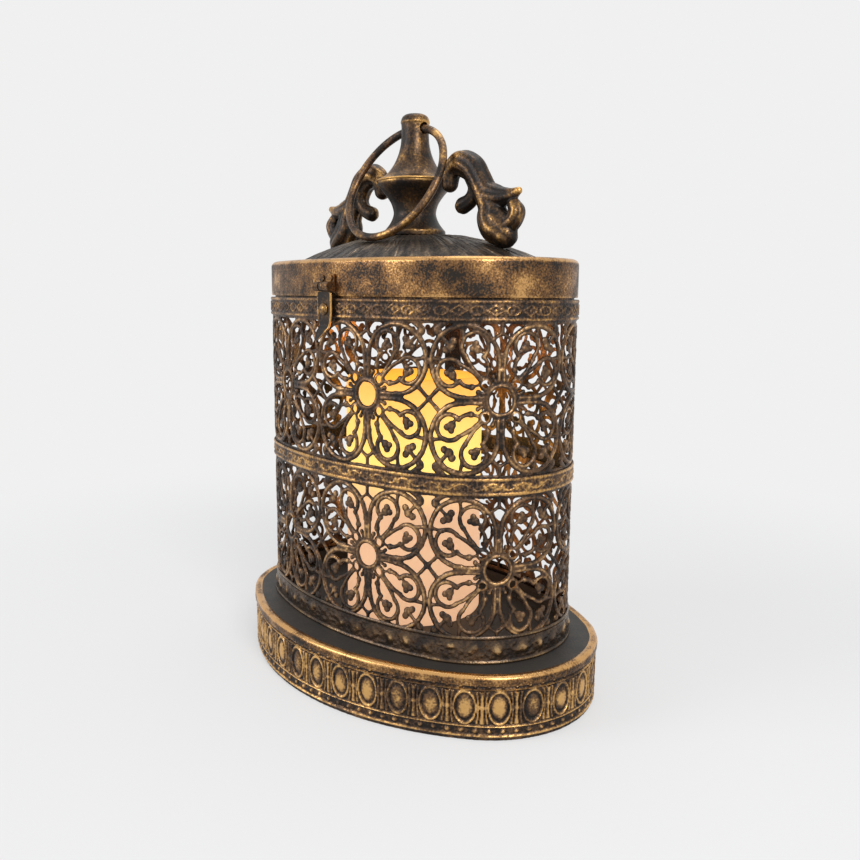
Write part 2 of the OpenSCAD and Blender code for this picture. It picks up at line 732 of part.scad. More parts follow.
module lid_rim() color(gilt) difference() {
    inner_r = shoulder_r - lid_t;
    flange_z = lid_top_z - lid_t;
    oval_loft(lid_half_len, lid_half_depth, lid_end_r, concat(
        [[0, lid_z]],
        [for (t = [0:22.5:90])
            [-shoulder_r + shoulder_r * cos(t), lid_top_z - shoulder_r + shoulder_r * sin(t)]],
        [[-shoulder_r, flange_z], [-shoulder_r - ledge_w, flange_z],
         [-shoulder_r - ledge_w, flange_z - lid_t], [-shoulder_r, flange_z - lid_t],
         [-lid_t, flange_z - lid_t - inner_r], [-lid_t, lid_z + collar_h], [collar_in, lid_z + collar_h],
         [collar_in, lid_z - collar_h], [collar_out, lid_z - collar_h], [collar_out, lid_z + lid_t],
         [-lid_t, lid_z + lid_t], [-lid_t, lid_z]]), wall_steps);
    at_hinge_rivets(1) rivet_bore();
    at_latch_rivets() rivet_bore();
}

// Rings of the lid's top skin, as shares of its oval
dome_shares = [for (i = [0:6]) dome_share + (seat_share - dome_share) * i / 6];

function share_oval(share, z) =
    [for (p = oval_points(top_half_len, top_half_depth, lid_end_r + top_edge, dome_steps))
        [p[0] * share, p[1] * share, z]];

module lid_top() color(dark_bronze) difference() {
    shares = concat([1], dome_shares);
    upper = [for (s = shares) each share_oval(s, dome_z(s))];
    lower = [for (s = shares) each share_oval(s, dome_z(s) - lid_t)];
    n = dome_steps;
    rows = len(shares);
    below = n * rows;
    polyhedron(concat(upper, lower), concat(
        [for (k = [0:rows - 2], i = [0:n - 1]) each let (a = k * n + i, b = k * n + (i + 1) % n)
            [[a, b + n, b], [a, a + n, b + n]]],
        [for (k = [0:rows - 2], i = [0:n - 1])
            each let (a = below + k * n + i, b = below + k * n + (i + 1) % n)
                [[a, b, b + n], [a, b + n, a + n]]],
        [for (i = [0:n - 1]) each let (j = (i + 1) % n) [[i, j, below + j], [i, below + j, below + i]]],
        [[for (i = [0:n - 1]) (rows - 1) * n + n - 1 - i]],
        [[for (i = [0:n - 1]) below + (rows - 1) * n + i]]));
    translate([0, 0, seat_z - lid_t - cut_over]) cylinder(h = lid_t + 2 * cut_over, r = rod_r + pin_fit);
    at_scroll_screws() translate([0, 0, lid_top_z - 2 * lid_t])
        cylinder(h = dome_rise, r = screw_r + pin_fit);
}

// Finial, turned about Z

function ease(t) = (1 - cos(180 * t)) / 2;
function swoop(r0, z0, r1, z1, steps) = [for (i = [0:steps]) let (t = i / steps)
    [r0 + (r1 - r0) * ease(t), z0 + (z1 - z0) * t]];

module finial_spool() color(dark_bronze) difference() {
    translate([0, 0, seat_z]) rotate_extrude() polygon(concat(
        [[0, 0], [foot_r, 0], [foot_r, 0.1 * spool_h]],
        swoop(foot_r - 0.4, 0.13 * spool_h, waist_r, 0.4 * spool_h, 5),
        swoop(waist_r, 0.48 * spool_h, flange_r - 0.5, 0.94 * spool_h, 6),
        [[flange_r, 0.96 * spool_h], [flange_r, spool_h], [0, spool_h]]));
    translate([0, 0, seat_z - cut_over]) cylinder(h = spool_h + 2 * cut_over, r = rod_r + pin_fit);
}

module finial_bell() color(bronze) difference() {
    neck_z = 0.56 * bell_h;
    cap_z = 0.865 * bell_h;
    translate([0, 0, bell_z]) rotate_extrude() polygon(concat(
        [[0, 0], [flange_r - 0.2, 0]],
        [for (i = [0:8]) let (t = i / 8)
            [neck_r + (flange_r - 0.4 - neck_r) * pow(1 - t, 2.1), 0.6 + (neck_z - 0.6) * t]],
        [[neck_r, cap_z]],
        [for (t = [0:15:90]) [neck_r * cos(t) * 0.97, cap_z + 0.8 + (bell_h - cap_z - 0.8) * sin(t)]]));
    translate([0, 0, hole_z]) along_x(-flange_r, flange_r, hole_r);
    translate([0, 0, bell_z - cut_over]) cylinder(h = neck_z + cut_over, r = rod_r + pin_fit);
}

rod_top = bell_z + 0.5 * bell_h;
nut_h = 4;
washer_t = 1;

module finial_rod() color("#8a8a86") translate([0, 0, seat_z - lid_t - washer_t - nut_h - 2])
    cylinder(h = rod_top - seat_z + lid_t + washer_t + nut_h + 2, r = rod_r);

module finial_nut() color("#8a8a86") difference() {
    union() {
        translate([0, 0, seat_z - lid_t - washer_t - nut_h]) cylinder(h = nut_h, r = 2 * rod_r, $fn = 6);
        translate([0, 0, seat_z - lid_t - washer_t]) cylinder(h = washer_t, r = 3 * rod_r);
    }
    translate([0, 0, seat_z - lid_t - washer_t - nut_h - cut_over])
        cylinder(h = nut_h + washer_t + 2 * cut_over, r = rod_r + pin_fit / 2);
}

// Cast scroll: chains of balls in the XZ plane, x from the foot's screw, z from the dome under it

scroll_inset = 31.45;
scroll_screw_x = top_half_len - scroll_inset;
scroll_z = dome_z(scroll_screw_x / top_half_len);
scroll_span = 36.2;
scroll_clear = 6;
scroll_reach = (scroll_screw_x - flange_r - scroll_clear) / scroll_span;
scroll_slope = atan(2 * dome_rise * scroll_screw_x / pow(dome_share * top_half_len, 2));
arm = [[-scroll_span, 38.7, 5], [-33, 41.9, 5.8], [-27.7, 43.1, 6.9], [-21, 40.1, 6.8], [-17, 35.3, 6.4],
    [-13.8, 30.3, 6.4], [-10.4, 25.3, 6.5], [-8, 19.9, 6], [-8, 14.9, 6], [-5.5, 10.6, 6.9],
    [-0.6, 8.3, 7.2]];
root_curl = [[-scroll_span, 38.7, 5], [-36.5, 33.7, 4.6]];
ball_curl = [[-19, 34.9, 5.5], [-18.5, 30.9, 4.4], [-22.5, 24.4, 4.2], [-27.2, 22.2, 4.3]];
knob_curl = [[-0.6, 8.3, 7.2], [3.5, 10.7, 4.6], [7.5, 13.4, 4], [9, 17.2, 3.8], [7.3, 19.9, 2.6]];
horn = [[-7, 25.4, 6], [-1, 24.4, 4.8], [4.5, 24.9, 3.6], [9.3, 26.9, 1.9]];
foot_disc_r = 6.6;
foot_disc_h = 1.5;

ball_sides = 14;

module ball_chain(balls) for (i = [0:len(balls) - 2]) hull() {
    for (k = [0, 1]) let (b = balls[i + k])
        translate([b[0] * scroll_reach, 0, b[1]]) sphere(r = b[2], $fn = ball_sides);
}

module scroll() translate([scroll_screw_x, 0, scroll_z]) {
    for (chain = [arm, root_curl, ball_curl, knob_curl, horn]) ball_chain(chain);
    rotate([0, scroll_slope, 0]) hull() {
        translate([0, 0, seat_gap]) cylinder(h = foot_disc_h, r = foot_disc_r, $fn = 2 * ball_sides);
        translate([0, 0, foot_disc_r + 2 * seat_gap]) sphere(r = foot_disc_r, $fn = ball_sides);
    }
}

module scroll_right() color(bronze) scroll();
module scroll_left() color(bronze) mirror([1, 0, 0]) scroll();

scroll_screw_len = 9;
screw_seat = 1.6;

module at_scroll_screws() for (x = [-1, 1]) translate([x * scroll_screw_x, 0, 0]) children();

module scroll_screws() color("#8a8a86") at_scroll_screws() {
    head_z = scroll_z - lid_t - screw_seat;
    translate([0, 0, head_z - screw_head_h]) cylinder(h = screw_head_h, r = screw_head_r);
    translate([0, 0, head_z - screw_head_h / 2]) cylinder(h = scroll_screw_len, r = screw_r);
}

// Carrying ring, leaning on the dome

module ring_handle() color(gilt) translate([0, 0, hole_z]) rotate([-ring_lean, 0, 0])
    translate([0, 0, -ring_centre_drop]) rotate([90, 0, 0])
        rotate_extrude() translate([ring_r, 0]) circle(d = ring_wire);

base_skirt();
base_top_plate();
base_rim();
base_bottom_plate();
foot_ring();
foot_screws();
bottom_band();
lower_panel();
middle_band();
upper_panel();
top_band();
seam_strips();
hinge_body_leaf();
hinge_pin();
hinge_body_rivets();
latch_keeper();
candle_wax();
candle_housing();
battery_cells();
battery_door();
led_board();
led();
candle_switch();
lid_rim();
lid_top();
finial_spool();
finial_bell();
finial_rod();
finial_nut();
scroll_left();
scroll_right();
scroll_screws();
hinge_lid_leaf();
hinge_lid_rivets();
latch_bracket();
latch_pin();
latch_rivets();
hasp();
hasp_knob();
ring_handle();
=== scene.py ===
"""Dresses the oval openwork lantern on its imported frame: relief, patina, candle glow, floor and camera.

All sizes are in millimetres until a mesh is written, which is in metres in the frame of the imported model.
"""

import logging
import math
from dataclasses import dataclass, field
from enum import Enum
from functools import cached_property, reduce

import bmesh
import bpy
import numpy as np
from mathutils import Matrix, Vector

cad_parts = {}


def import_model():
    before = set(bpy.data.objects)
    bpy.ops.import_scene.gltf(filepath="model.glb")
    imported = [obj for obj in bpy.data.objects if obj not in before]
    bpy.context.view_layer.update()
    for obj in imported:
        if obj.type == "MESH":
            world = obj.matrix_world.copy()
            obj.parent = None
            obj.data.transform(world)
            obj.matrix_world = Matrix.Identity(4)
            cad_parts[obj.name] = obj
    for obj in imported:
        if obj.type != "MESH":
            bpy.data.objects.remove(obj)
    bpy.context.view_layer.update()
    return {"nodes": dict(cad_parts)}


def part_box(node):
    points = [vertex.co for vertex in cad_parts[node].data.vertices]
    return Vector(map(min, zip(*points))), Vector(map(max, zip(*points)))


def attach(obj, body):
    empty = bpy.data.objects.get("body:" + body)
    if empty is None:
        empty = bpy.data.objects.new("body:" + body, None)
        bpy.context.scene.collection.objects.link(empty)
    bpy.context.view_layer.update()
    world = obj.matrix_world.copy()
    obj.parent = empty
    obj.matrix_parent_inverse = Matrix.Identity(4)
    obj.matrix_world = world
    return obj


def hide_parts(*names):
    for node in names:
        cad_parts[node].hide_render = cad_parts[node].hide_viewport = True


Grid = np.ndarray
Piece = bpy.types.Object
Finish = bpy.types.Material
Tree = bpy.types.NodeTree
Socket = bpy.types.NodeSocket
Points = list[tuple[float, ...]]
Pair = tuple[float, float]
Rib = tuple[Grid, float, float]

LOG = logging.getLogger("lantern")
RUB = "rub"
MM = 0.001
FULL_TURN = 2 * math.pi
TINY = 1e-9
MERGE_M = 2e-6
LATTICE = 256
TURNED_SIDES = 128


class Body(Enum):
    """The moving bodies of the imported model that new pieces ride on."""

    LANTERN = "lantern"
    LID = "lid"
    HASP = "hasp"
    RING = "ring"


class Slot(Enum):
    """The record's material slots, passed along with new pieces but not read."""

    BRONZE = "antique_bronze"
    GILT = "gilded_rim"
    PLATE = "dark_plate"
    CAST = "cast_bronze"
    WAX = "candle_wax"


def bump(distance: Grid, half_width: float | Grid) -> Grid:
    """A rounded ridge: one less the square of the distance over the half width, and nothing beyond it.

    Args:
        distance: distance from the ridge's middle.
        half_width: half of the ridge's width.

    Returns:
        Heights from 0 to 1.
    """
    return np.clip(1 - (distance / half_width) ** 2, 0, 1)


def highest(*parts: Grid) -> Grid:
    """The greatest of several heights at each point."""
    return reduce(np.maximum, parts)


def dome(share: Grid) -> Grid:
    """A half-round cap: the square root of one less the squared share of its radius."""
    return np.sqrt(np.clip(1 - share**2, 0, 1))


def repeat(s: Grid, pitch: float, shift: float = 0.0) -> Grid:
    """Distance from the middle of each repeat of a pattern, from minus to plus half a pitch."""
    return (np.mod(s / pitch + shift, 1) - 0.5) * pitch


def round_steps(count: int) -> Grid:
    """Angles evenly round a full turn, as a column."""
    return np.linspace(0, FULL_TURN, count, endpoint=False)[:, None]


def cloud(u: Grid, v: Grid, cell: float, seed: int) -> Grid:
    """Smooth lumps: seeded random heights on a square lattice, eased between its corners.

    Args:
        u: first coordinate, in mm.
        v: second coordinate, in mm.
        cell: lattice spacing, in mm.
        seed: seed of the lattice.

    Returns:
        Heights from -1 to 1.
    """
    lattice = np.random.default_rng(seed).uniform(-1, 1, (LATTICE, LATTICE))
    column, row = np.floor(u / cell).astype(int), np.floor(v / cell).astype(int)
    across, up = u / cell - column, v / cell - row
    across, up = across**2 * (3 - 2 * across), up**2 * (3 - 2 * up)
    left, right = column % LATTICE, (column + 1) % LATTICE
    below, above = row % LATTICE, (row + 1) % LATTICE
    low = lattice[left, below] * (1 - across) + lattice[right, below] * across
    high = lattice[left, above] * (1 - across) + lattice[right, above] * across
    return low * (1 - up) + high * up


def smooth_path(points: Points, count: int) -> Grid:
    """A Catmull-Rom curve: between two points, the cubic whose slopes follow the points on either side.

    Args:
        points: points to pass through.
        count: number of points to return.

    Returns:
        An array of count points.
    """
    p = np.asarray(points, float)
    p = np.vstack([2 * p[0] - p[1], p, 2 * p[-1] - p[-2]])
    t = np.linspace(0, len(points) - 1, count)
    i = np.minimum(t.astype(int), len(points) - 2)
    f = (t - i)[:, None]
    a, b, c, d = p[i], p[i + 1], p[i + 2], p[i + 3]
    return b + 0.5 * f * (c - a + f * (2 * a - 5 * b + 4 * c - d + f * (3 * (b - c) + d - a)))


@dataclass(frozen=True)
class Oval:
    """An oval of four arcs, two round ends and two flat sides, in mm."""

    half_len: float
    half_depth: float
    end_r: float

    @property
    def side_r(self) -> float:
        """Radius of the two flat sides."""
        a, b, r = self.half_len, self.half_depth, self.end_r
        return (a * a - 2 * a * r + b * b) / (2 * (b - r))

    @property
    def turn(self) -> float:
        """Angle of half an end arc, in radians."""
        return math.atan2(self.side_r - self.half_depth, self.half_len - self.end_r)

    @property
    def girth(self) -> float:
        """Length round the oval."""
        return 4 * (self.side_r * (math.pi / 2 - self.turn) + self.end_r * self.turn)

    def grown(self, by: float) -> "Oval":
        """The oval set outwards by an offset."""
        return Oval(self.half_len + by, self.half_depth + by, self.end_r + by)

    def steps(self, count: int) -> Grid:
        """Distances evenly round the oval, starting at the back, as a column."""
        return np.linspace(-self.girth / 2, self.girth / 2, count, endpoint=False)[:, None]

    def place(self, s: Grid, out: Grid | float = 0.0) -> tuple[Grid, Grid]:
        """Points on the oval: on each arc the normal's angle grows evenly with the distance.

        Args:
            s: distance round the oval from the front centre towards +X.
            out: offset along the outward normal.

        Returns:
            The x and y of each point.
        """
        side = self.side_r * (math.pi / 2 - self.turn)
        end = 2 * self.end_r * self.turn
        half = math.pi / 2
        stops = np.cumsum([0, side, end, 2 * side, end, side])
        angles = [-half, -self.turn, self.turn, math.pi - self.turn, math.pi + self.turn, 3 * half]
        s = np.mod(s, self.girth)
        normal = np.interp(s, stops, angles)
        arc = np.clip(np.searchsorted(stops, s, side="right") - 1, 0, 4)
        reach_x, reach_y = self.half_len - self.end_r, self.side_r - self.half_depth
        centre_x = np.array([0, reach_x, 0, -reach_x, 0])[arc]
        centre_y = np.array([reach_y, 0, -reach_y, 0, reach_y])[arc]
        radius = np.array([self.side_r, self.end_r, self.side_r, self.end_r, self.side_r])[arc] + out
        return centre_x + radius * np.cos(normal), centre_y + radius * np.sin(normal)


def write_mesh(
    name: str, points: Grid, faces: Grid, rub: Grid | None = None, crease: float = 45.0
) -> Piece:
    """Writes an object from arrays, merges its doubles and turns its faces outwards.

    Args:
        name: the piece's name.
        points: n by 3 array, in mm.
        faces: m by 3 or m by 4 array of point numbers.
        rub: how far the patina is rubbed off at each point, from 0 to 1.
        crease: edges sharper than this many degrees stay sharp.

    Returns:
        The new object, at the origin.
    """
    mesh = bpy.data.meshes.new(name)
    mesh.vertices.add(len(points))
    mesh.vertices.foreach_set("co", np.ascontiguousarray(points * MM, np.float32).ravel())
    mesh.loops.add(faces.size)
    mesh.loops.foreach_set("vertex_index", np.ascontiguousarray(faces, np.int32).ravel())
    mesh.polygons.add(len(faces))
    mesh.polygons.foreach_set("loop_start", np.arange(0, faces.size, faces.shape[1], dtype=np.int32))
    mesh.update(calc_edges=True)
    if rub is not None:
        write_rub(mesh, rub)
    work = bmesh.new()
    work.from_mesh(mesh)
    bmesh.ops.remove_doubles(work, verts=work.verts, dist=MERGE_M)
    bmesh.ops.recalc_face_normals(work, faces=work.faces)
    work.to_mesh(mesh)
    work.free()
    mesh.shade_smooth()
    mesh.set_sharp_from_angle(angle=math.radians(crease))
    piece = bpy.data.objects.new(name, mesh)
    bpy.context.scene.collection.objects.link(piece)
    return piece


def write_rub(mesh: bpy.types.Mesh, rub: Grid) -> None:
    """Keeps the rubbed share of each point as a mesh attribute."""
    layer = mesh.attributes.get(RUB) or mesh.attributes.new(RUB, "FLOAT", "POINT")
    layer.data.foreach_set("value", np.ascontiguousarray(rub, np.float32).ravel())


def grid_faces(columns: int, rows: int, round_u: bool, round_v: bool) -> Grid:
    """Four-sided faces of a grid: each joins a point to the next column, the next row and both.

    Args:
        columns: points along u.
        rows: points along v.
        round_u: the last column joins the first.
        round_v: the last row joins the first.

    Returns:
        An m by 4 array of point numbers.
    """
    i = np.arange(columns if round_u else columns - 1)[:, None]
    j = np.arange(rows if round_v else rows - 1)[None, :]
    i2, j2 = (i + 1) % columns, (j + 1) % rows
    return np.stack([i * rows + j, i2 * rows + j, i2 * rows + j2, i * rows + j2], -1).reshape(-1, 4)


def grid_mesh(x: Grid, y: Grid, z: Grid, closed: bool) -> tuple[Grid, Grid]:
    """Points and faces of a grid that closes round u, and round v too where its profile is a loop."""
    points = np.stack(np.broadcast_arrays(x, y, z), -1)
    return points.reshape(-1, 3), grid_faces(*points.shape[:2], True, closed)


def grid_piece(
    name: str, x: Grid, y: Grid, z: Grid, rub: Grid | None = None, closed: bool = True, crease: float = 45.0
) -> Piece:
    """A piece on a grid that closes round u.

    Args:
        name: the piece's name.
        x, y, z: coordinates on the grid, in mm.
        rub: rubbed share on the grid.
        closed: the profile joins its own start; otherwise it starts and ends on its axis.
        crease: edges sharper than this many degrees stay sharp.

    Returns:
        The new object.
    """
    points, faces = grid_mesh(x, y, z, closed)
    shape = np.broadcast_shapes(x.shape, y.shape, z.shape)
    flat = None if rub is None else np.broadcast_to(rub, shape).ravel()
    return write_mesh(name, points, faces, flat, crease)


def stamped_band(name: str, oval: Oval, out: Grid, z: Grid, rub: Grid, inner: float) -> Piece:
    """A stamped face round an oval, closed by a plain inner wall.

    Args:
        name: the piece's name.
        oval: the oval that it follows.
        out: offset of the face, on a grid of columns round the oval and rows up it.
        z: height of each row.
        rub: rubbed share on that grid.
        inner: offset of the inner wall.

    Returns:
        The new object.
    """
    wall = np.zeros((len(out), 2))
    x, y = oval.place(oval.steps(len(out)), np.hstack([out, wall + inner]))
    heights = np.concatenate([z, [z[-1], z[0]]])
    return grid_piece(name, x, y, heights, np.hstack([rub, wall]))


def turned(name: str, profile: Grid) -> Piece:
    """A turned piece: a profile of radius and height carried round the Z axis.

    Args:
        name: the piece's name.
        profile: k by 2 array of radius and height, starting and ending at radius 0.

    Returns:
        The new object.
    """
    angle, (radius, height) = round_steps(TURNED_SIDES), profile.T
    x, y = radius * np.cos(angle), radius * np.sin(angle)
    return grid_piece(name, x, y, height, closed=False, crease=60.0)


def settle(piece: Piece) -> None:
    """Puts a piece's modifiers into its mesh."""
    graph = bpy.context.evaluated_depsgraph_get()
    mesh = bpy.data.meshes.new_from_object(piece.evaluated_get(graph))
    piece.modifiers.clear()
    old, piece.data = piece.data, mesh
    bpy.data.meshes.remove(old)
    mesh.name = piece.name


def rub_edges(piece: Piece, gain: float, base: float, blur: int, seed: int) -> None:
    """Rubs a piece where it bulges: the mean step to a point's neighbours, measured against its normal.

    Args:
        piece: the piece to rub.
        gain: how strongly a bulge shows.
        base: rubbed share of a flat place.
        blur: how many times the values are averaged over neighbours.
        seed: seed of the uneven handling.
    """
    mesh = piece.data
    count = len(mesh.vertices)
    co, normal = np.empty(count * 3), np.empty(count * 3)
    mesh.vertices.foreach_get("co", co)
    mesh.vertex_normals.foreach_get("vector", normal)
    ends = np.empty(len(mesh.edges) * 2, np.int32)
    mesh.edges.foreach_get("vertices", ends)
    co, normal, ends = co.reshape(-1, 3), normal.reshape(-1, 3), ends.reshape(-1, 2)
    head, tail = np.concatenate([ends[:, 0], ends[:, 1]]), np.concatenate([ends[:, 1], ends[:, 0]])
    step = co[tail] - co[head]
    slope = -(step * normal[head]).sum(1) / (np.linalg.norm(step, axis=1) + TINY)
    degree = np.bincount(head, minlength=count) + TINY
    bulge = np.bincount(head, slope, count) / degree
    for _ in range(blur):
        bulge = (bulge + np.bincount(head, bulge[tail], count) / degree) / 2
    uneven = cloud(co[:, 0] / MM + co[:, 1] / MM * 0.6, co[:, 2] / MM, 7.0, seed)
    write_rub(mesh, np.clip(base + gain * bulge + 0.16 * uneven, 0, 1))


def rub_heights(piece: Piece, shares: Points, seed: int) -> None:
    """Rubs a turned piece by height: shares read between given heights, broken by uneven handling.

    Args:
        piece: the piece to rub.
        shares: heights in mm, rising, each with its rubbed share.
        seed: seed of the uneven handling.
    """
    co = np.empty(len(piece.data.vertices) * 3)
    piece.data.vertices.foreach_get("co", co)
    x, y, z = co.reshape(-1, 3).T / MM
    heights, values = np.array(shares).T
    uneven = 0.2 * cloud(x + 0.6 * y, z, 6.0, seed)
    write_rub(piece.data, np.clip(np.interp(z, heights, values) + uneven, 0, 1))


def set_piece(piece: Piece, finish: Finish, body: Body, slot: Slot, *nodes: str) -> None:
    """Gives a new piece its finish, its body and the CAD nodes that it stands for.

    Args:
        piece: the new piece.
        finish: its material.
        body: the body it rides on.
        slot: the record's material slot; not used.
        nodes: CAD nodes that it replaces.
    """
    piece.data.materials.clear()
    piece.data.materials.append(finish)
    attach(piece, body.value)
    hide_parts(*nodes)
    LOG.info("%s: %d faces, rides on %s", piece.name, len(piece.data.polygons), body.value)


def hex_linear(code: str) -> tuple[float, float, float, float]:
    """Turns an sRGB hex value into linear RGBA."""
    srgb = np.array([int(code[i : i + 2], 16) for i in (1, 3, 5)]) / 255
    linear = np.where(srgb <= 0.04045, srgb / 12.92, ((srgb + 0.055) / 1.055) ** 2.4)
    return (float(linear[0]), float(linear[1]), float(linear[2]), 1.0)


def add(tree: Tree, kind: str, inputs: dict | None = None, **settings: object) -> bpy.types.Node:
    """Adds a node with its settings, values and links.

    Args:
        tree: the node tree.
        kind: the node's type name.
        inputs: value or output socket for each input, by name or number.
        settings: the node's own properties.

    Returns:
        The node.
    """
    node = tree.nodes.new(kind)
    for key, value in settings.items():
        setattr(node, key, value)
    for key, value in (inputs or {}).items():
        if isinstance(value, Socket):
            tree.links.new(value, node.inputs[key])
        else:
            node.inputs[key].default_value = value
    return node


class Nodes:
    """The emptied node tree of a material or world, with the kinds of node that the finishes share."""

    def __init__(self, owner: Finish | bpy.types.World) -> None:
        """Empties the owner's tree.

        Args:
            owner: the material or world.
        """
        owner.use_nodes = True
        self.tree = owner.node_tree
        self.tree.nodes.clear()

    @cached_property
    def place(self) -> Socket:
        """The point on the piece, in metres."""
        return add(self.tree, "ShaderNodeTexCoord").outputs["Object"]

    def noise(self, cell: float, detail: float) -> Socket:
        """A noise whose cells are so many mm wide."""
        inputs = {"Vector": self.place, "Scale": 1 / (cell * MM), "Detail": detail}
        return add(self.tree, "ShaderNodeTexNoise", inputs).outputs["Fac"]

    def calc(self, operation: str, *values: Socket | float) -> Socket:
        """One step of arithmetic."""
        return add(self.tree, "ShaderNodeMath", dict(enumerate(values)), operation=operation).outputs[0]

    def ramp(self, value: Socket, low: float, high: float, start: float = 0.0, stop: float = 1.0) -> Socket:
        """A straight ramp: start up to the value low, stop from the value high."""
        inputs = dict(enumerate((value, low, high, start, stop)))
        return add(self.tree, "ShaderNodeMapRange", inputs).outputs[0]

    def eased(self, value: Socket, low: float, high: float, start: float = 0.0) -> Socket:
        """An eased ramp: start up to the value low, 1 from the value high."""
        inputs = dict(enumerate((value, low, high, start, 1.0)))
        return add(self.tree, "ShaderNodeMapRange", inputs, interpolation_type="SMOOTHSTEP").outputs[0]

    def mix(self, share: Socket, first: Socket | str, second: Socket | str) -> Socket:
        """Two colours, as sockets or hex values, mixed by a share."""
        a, b = (hex_linear(tint) if isinstance(tint, str) else tint for tint in (first, second))
        return add(self.tree, "ShaderNodeMix", {0: share, 6: a, 7: b}, data_type="RGBA").outputs[2]

    def relief(self, cell: float, detail: float, strength: float, depth: float) -> Socket:
        """The normal of a skin raised by a noise, its cells and depth in mm."""
        inputs = {"Strength": strength, "Distance": depth * MM, "Height": self.noise(cell, detail)}
        return add(self.tree, "ShaderNodeBump", inputs).outputs["Normal"]

    def cover(self, inputs: dict) -> None:
        """Ends a material in one principled shader with these inputs."""
        shader = add(self.tree, "ShaderNodeBsdfPrincipled", inputs)
        add(self.tree, "ShaderNodeOutputMaterial", {"Surface": shader.outputs[0]})


@dataclass(frozen=True)
class RubbedMetal:
    """Stamped or cast bronze under a dark patina that handling has rubbed back to gold on the high places.

    A level is made of the rub attribute and two noises. The patina turns brown up to brown_full and gold
    between gold_from and gold_full. It is all metal at metal_full, and as smooth as the gold at shine_full.
    """

    name: str
    patina: str = "#221c19"
    brown: str = "#6b523d"
    gold: str = "#cfa162"
    bare: float = 0.1
    gain: float = 0.85
    patch_mm: float = 11.0
    patch: float = 1.2
    speck_mm: float = 1.2
    speck: float = 1.2
    rough_patina: float = 0.5
    rough_gold: float = 0.34
    metal_patina: float = 0.6
    grain_mm: float = 0.9
    grain_depth: float = 0.12
    grain_strength: float = 0.9
    brown_full: float = 0.5
    gold_from: float = 0.4
    gold_full: float = 1.0
    metal_full: float = 0.6
    shine_full: float = 0.9

    def make(self) -> Finish:
        """Builds the finish: dark where the level is low, brown between, gold where it is high.

        Returns:
            The material.
        """
        finish = bpy.data.materials.new(self.name)
        nodes = Nodes(finish)
        rub = add(nodes.tree, "ShaderNodeAttribute", attribute_name=RUB).outputs["Fac"]
        start = self.bare - (self.patch + self.speck) / 2
        level = nodes.calc("MULTIPLY_ADD", nodes.noise(self.patch_mm, 5.0), self.patch, start)
        level = nodes.calc("MULTIPLY_ADD", nodes.noise(self.speck_mm, 3.0), self.speck, level)
        level = nodes.calc("MULTIPLY_ADD", rub, self.gain, level)
        warm = nodes.mix(nodes.eased(level, 0.0, self.brown_full), self.patina, self.brown)
        nodes.cover(
            {
                "Base Color": nodes.mix(nodes.eased(level, self.gold_from, self.gold_full), warm, self.gold),
                "Metallic": nodes.ramp(level, 0.0, self.metal_full, self.metal_patina),
                "Roughness": nodes.ramp(level, 0.0, self.shine_full, self.rough_patina, self.rough_gold),
                "Normal": nodes.relief(self.grain_mm, 4.0, self.grain_strength, self.grain_depth),
            }
        )
        return finish


@dataclass(frozen=True)
class Moulded:
    """A plain moulded, dipped or printed surface: two close tones in soft clouds, and a fine skin."""

    name: str
    tone: str
    shade: str
    cloud_mm: float = 6.0
    rough: float = 0.45
    metallic: float = 0.0
    skin_mm: float = 0.7
    skin_depth: float = 0.02
    skin_strength: float = 0.5
    glow: str = "#000000"
    glow_strength: float = 0.0

    def make(self) -> Finish:
        """Builds the finish: the two tones mixed by a noise, under a finely bumped skin.

        Returns:
            The material.
        """
        finish = bpy.data.materials.new(self.name)
        nodes = Nodes(finish)
        nodes.cover(
            {
                "Base Color": nodes.mix(nodes.noise(self.cloud_mm, 4.0), self.tone, self.shade),
                "Metallic": self.metallic,
                "Roughness": self.rough,
                "Normal": nodes.relief(self.skin_mm, 2.0, self.skin_strength, self.skin_depth),
                "Emission Color": hex_linear(self.glow),
                "Emission Strength": self.glow_strength,
            }
        )
        return finish


@dataclass(frozen=True)
class LitWax:
    """Cast paraffin with a painted glow that stands for the lamp inside it: yellow in its upper half, amber at
    the top, peach cream below.
    """

    name: str = "lit_paraffin_wax"
    cream: str = "#d9b892"
    shade: str = "#c49c70"
    flame: str = "#ffd66a"
    crown: str = "#f6a836"
    ember: str = "#f4bf98"
    cloud_mm: float = 18.0
    sway: float = 12.0
    bright_low: float = 96.0
    bright_high: float = 128.0
    crown_low: float = 130.0
    crown_high: float = 168.0
    strength_low: float = 0.73
    strength_high: float = 1.16
    skin_mm: float = 2.5
    skin_depth: float = 0.08
    skin_strength: float = 0.4
    rough: float = 0.5
    ior: float = 1.44

    def make(self) -> Finish:
        """Builds the wax: its glow and the glow's colour follow the height, moved up by soft clouds.

        Returns:
            The material.
        """
        finish = bpy.data.materials.new(self.name)
        nodes = Nodes(finish)
        height = add(nodes.tree, "ShaderNodeSeparateXYZ", {0: nodes.place}).outputs["Z"]
        clouds = nodes.noise(self.cloud_mm, 3.0)
        height = nodes.calc("MULTIPLY_ADD", clouds, self.sway * MM, height)
        lit = nodes.eased(height, self.bright_low * MM, self.bright_high * MM)
        top = nodes.ramp(height, self.crown_low * MM, self.crown_high * MM)
        nodes.cover(
            {
                "Base Color": nodes.mix(clouds, self.cream, self.shade),
                "Roughness": self.rough,
                "IOR": self.ior,
                "Normal": nodes.relief(self.skin_mm, 3.0, self.skin_strength, self.skin_depth),
                # Painted glow: brighter and yellower up high, amber at the top, peach lower down.
                "Emission Color": nodes.mix(lit, self.ember, nodes.mix(top, self.flame, self.crown)),
                "Emission Strength": nodes.ramp(lit, 0.0, 1.0, self.strength_low, self.strength_high),
            }
        )
        return finish


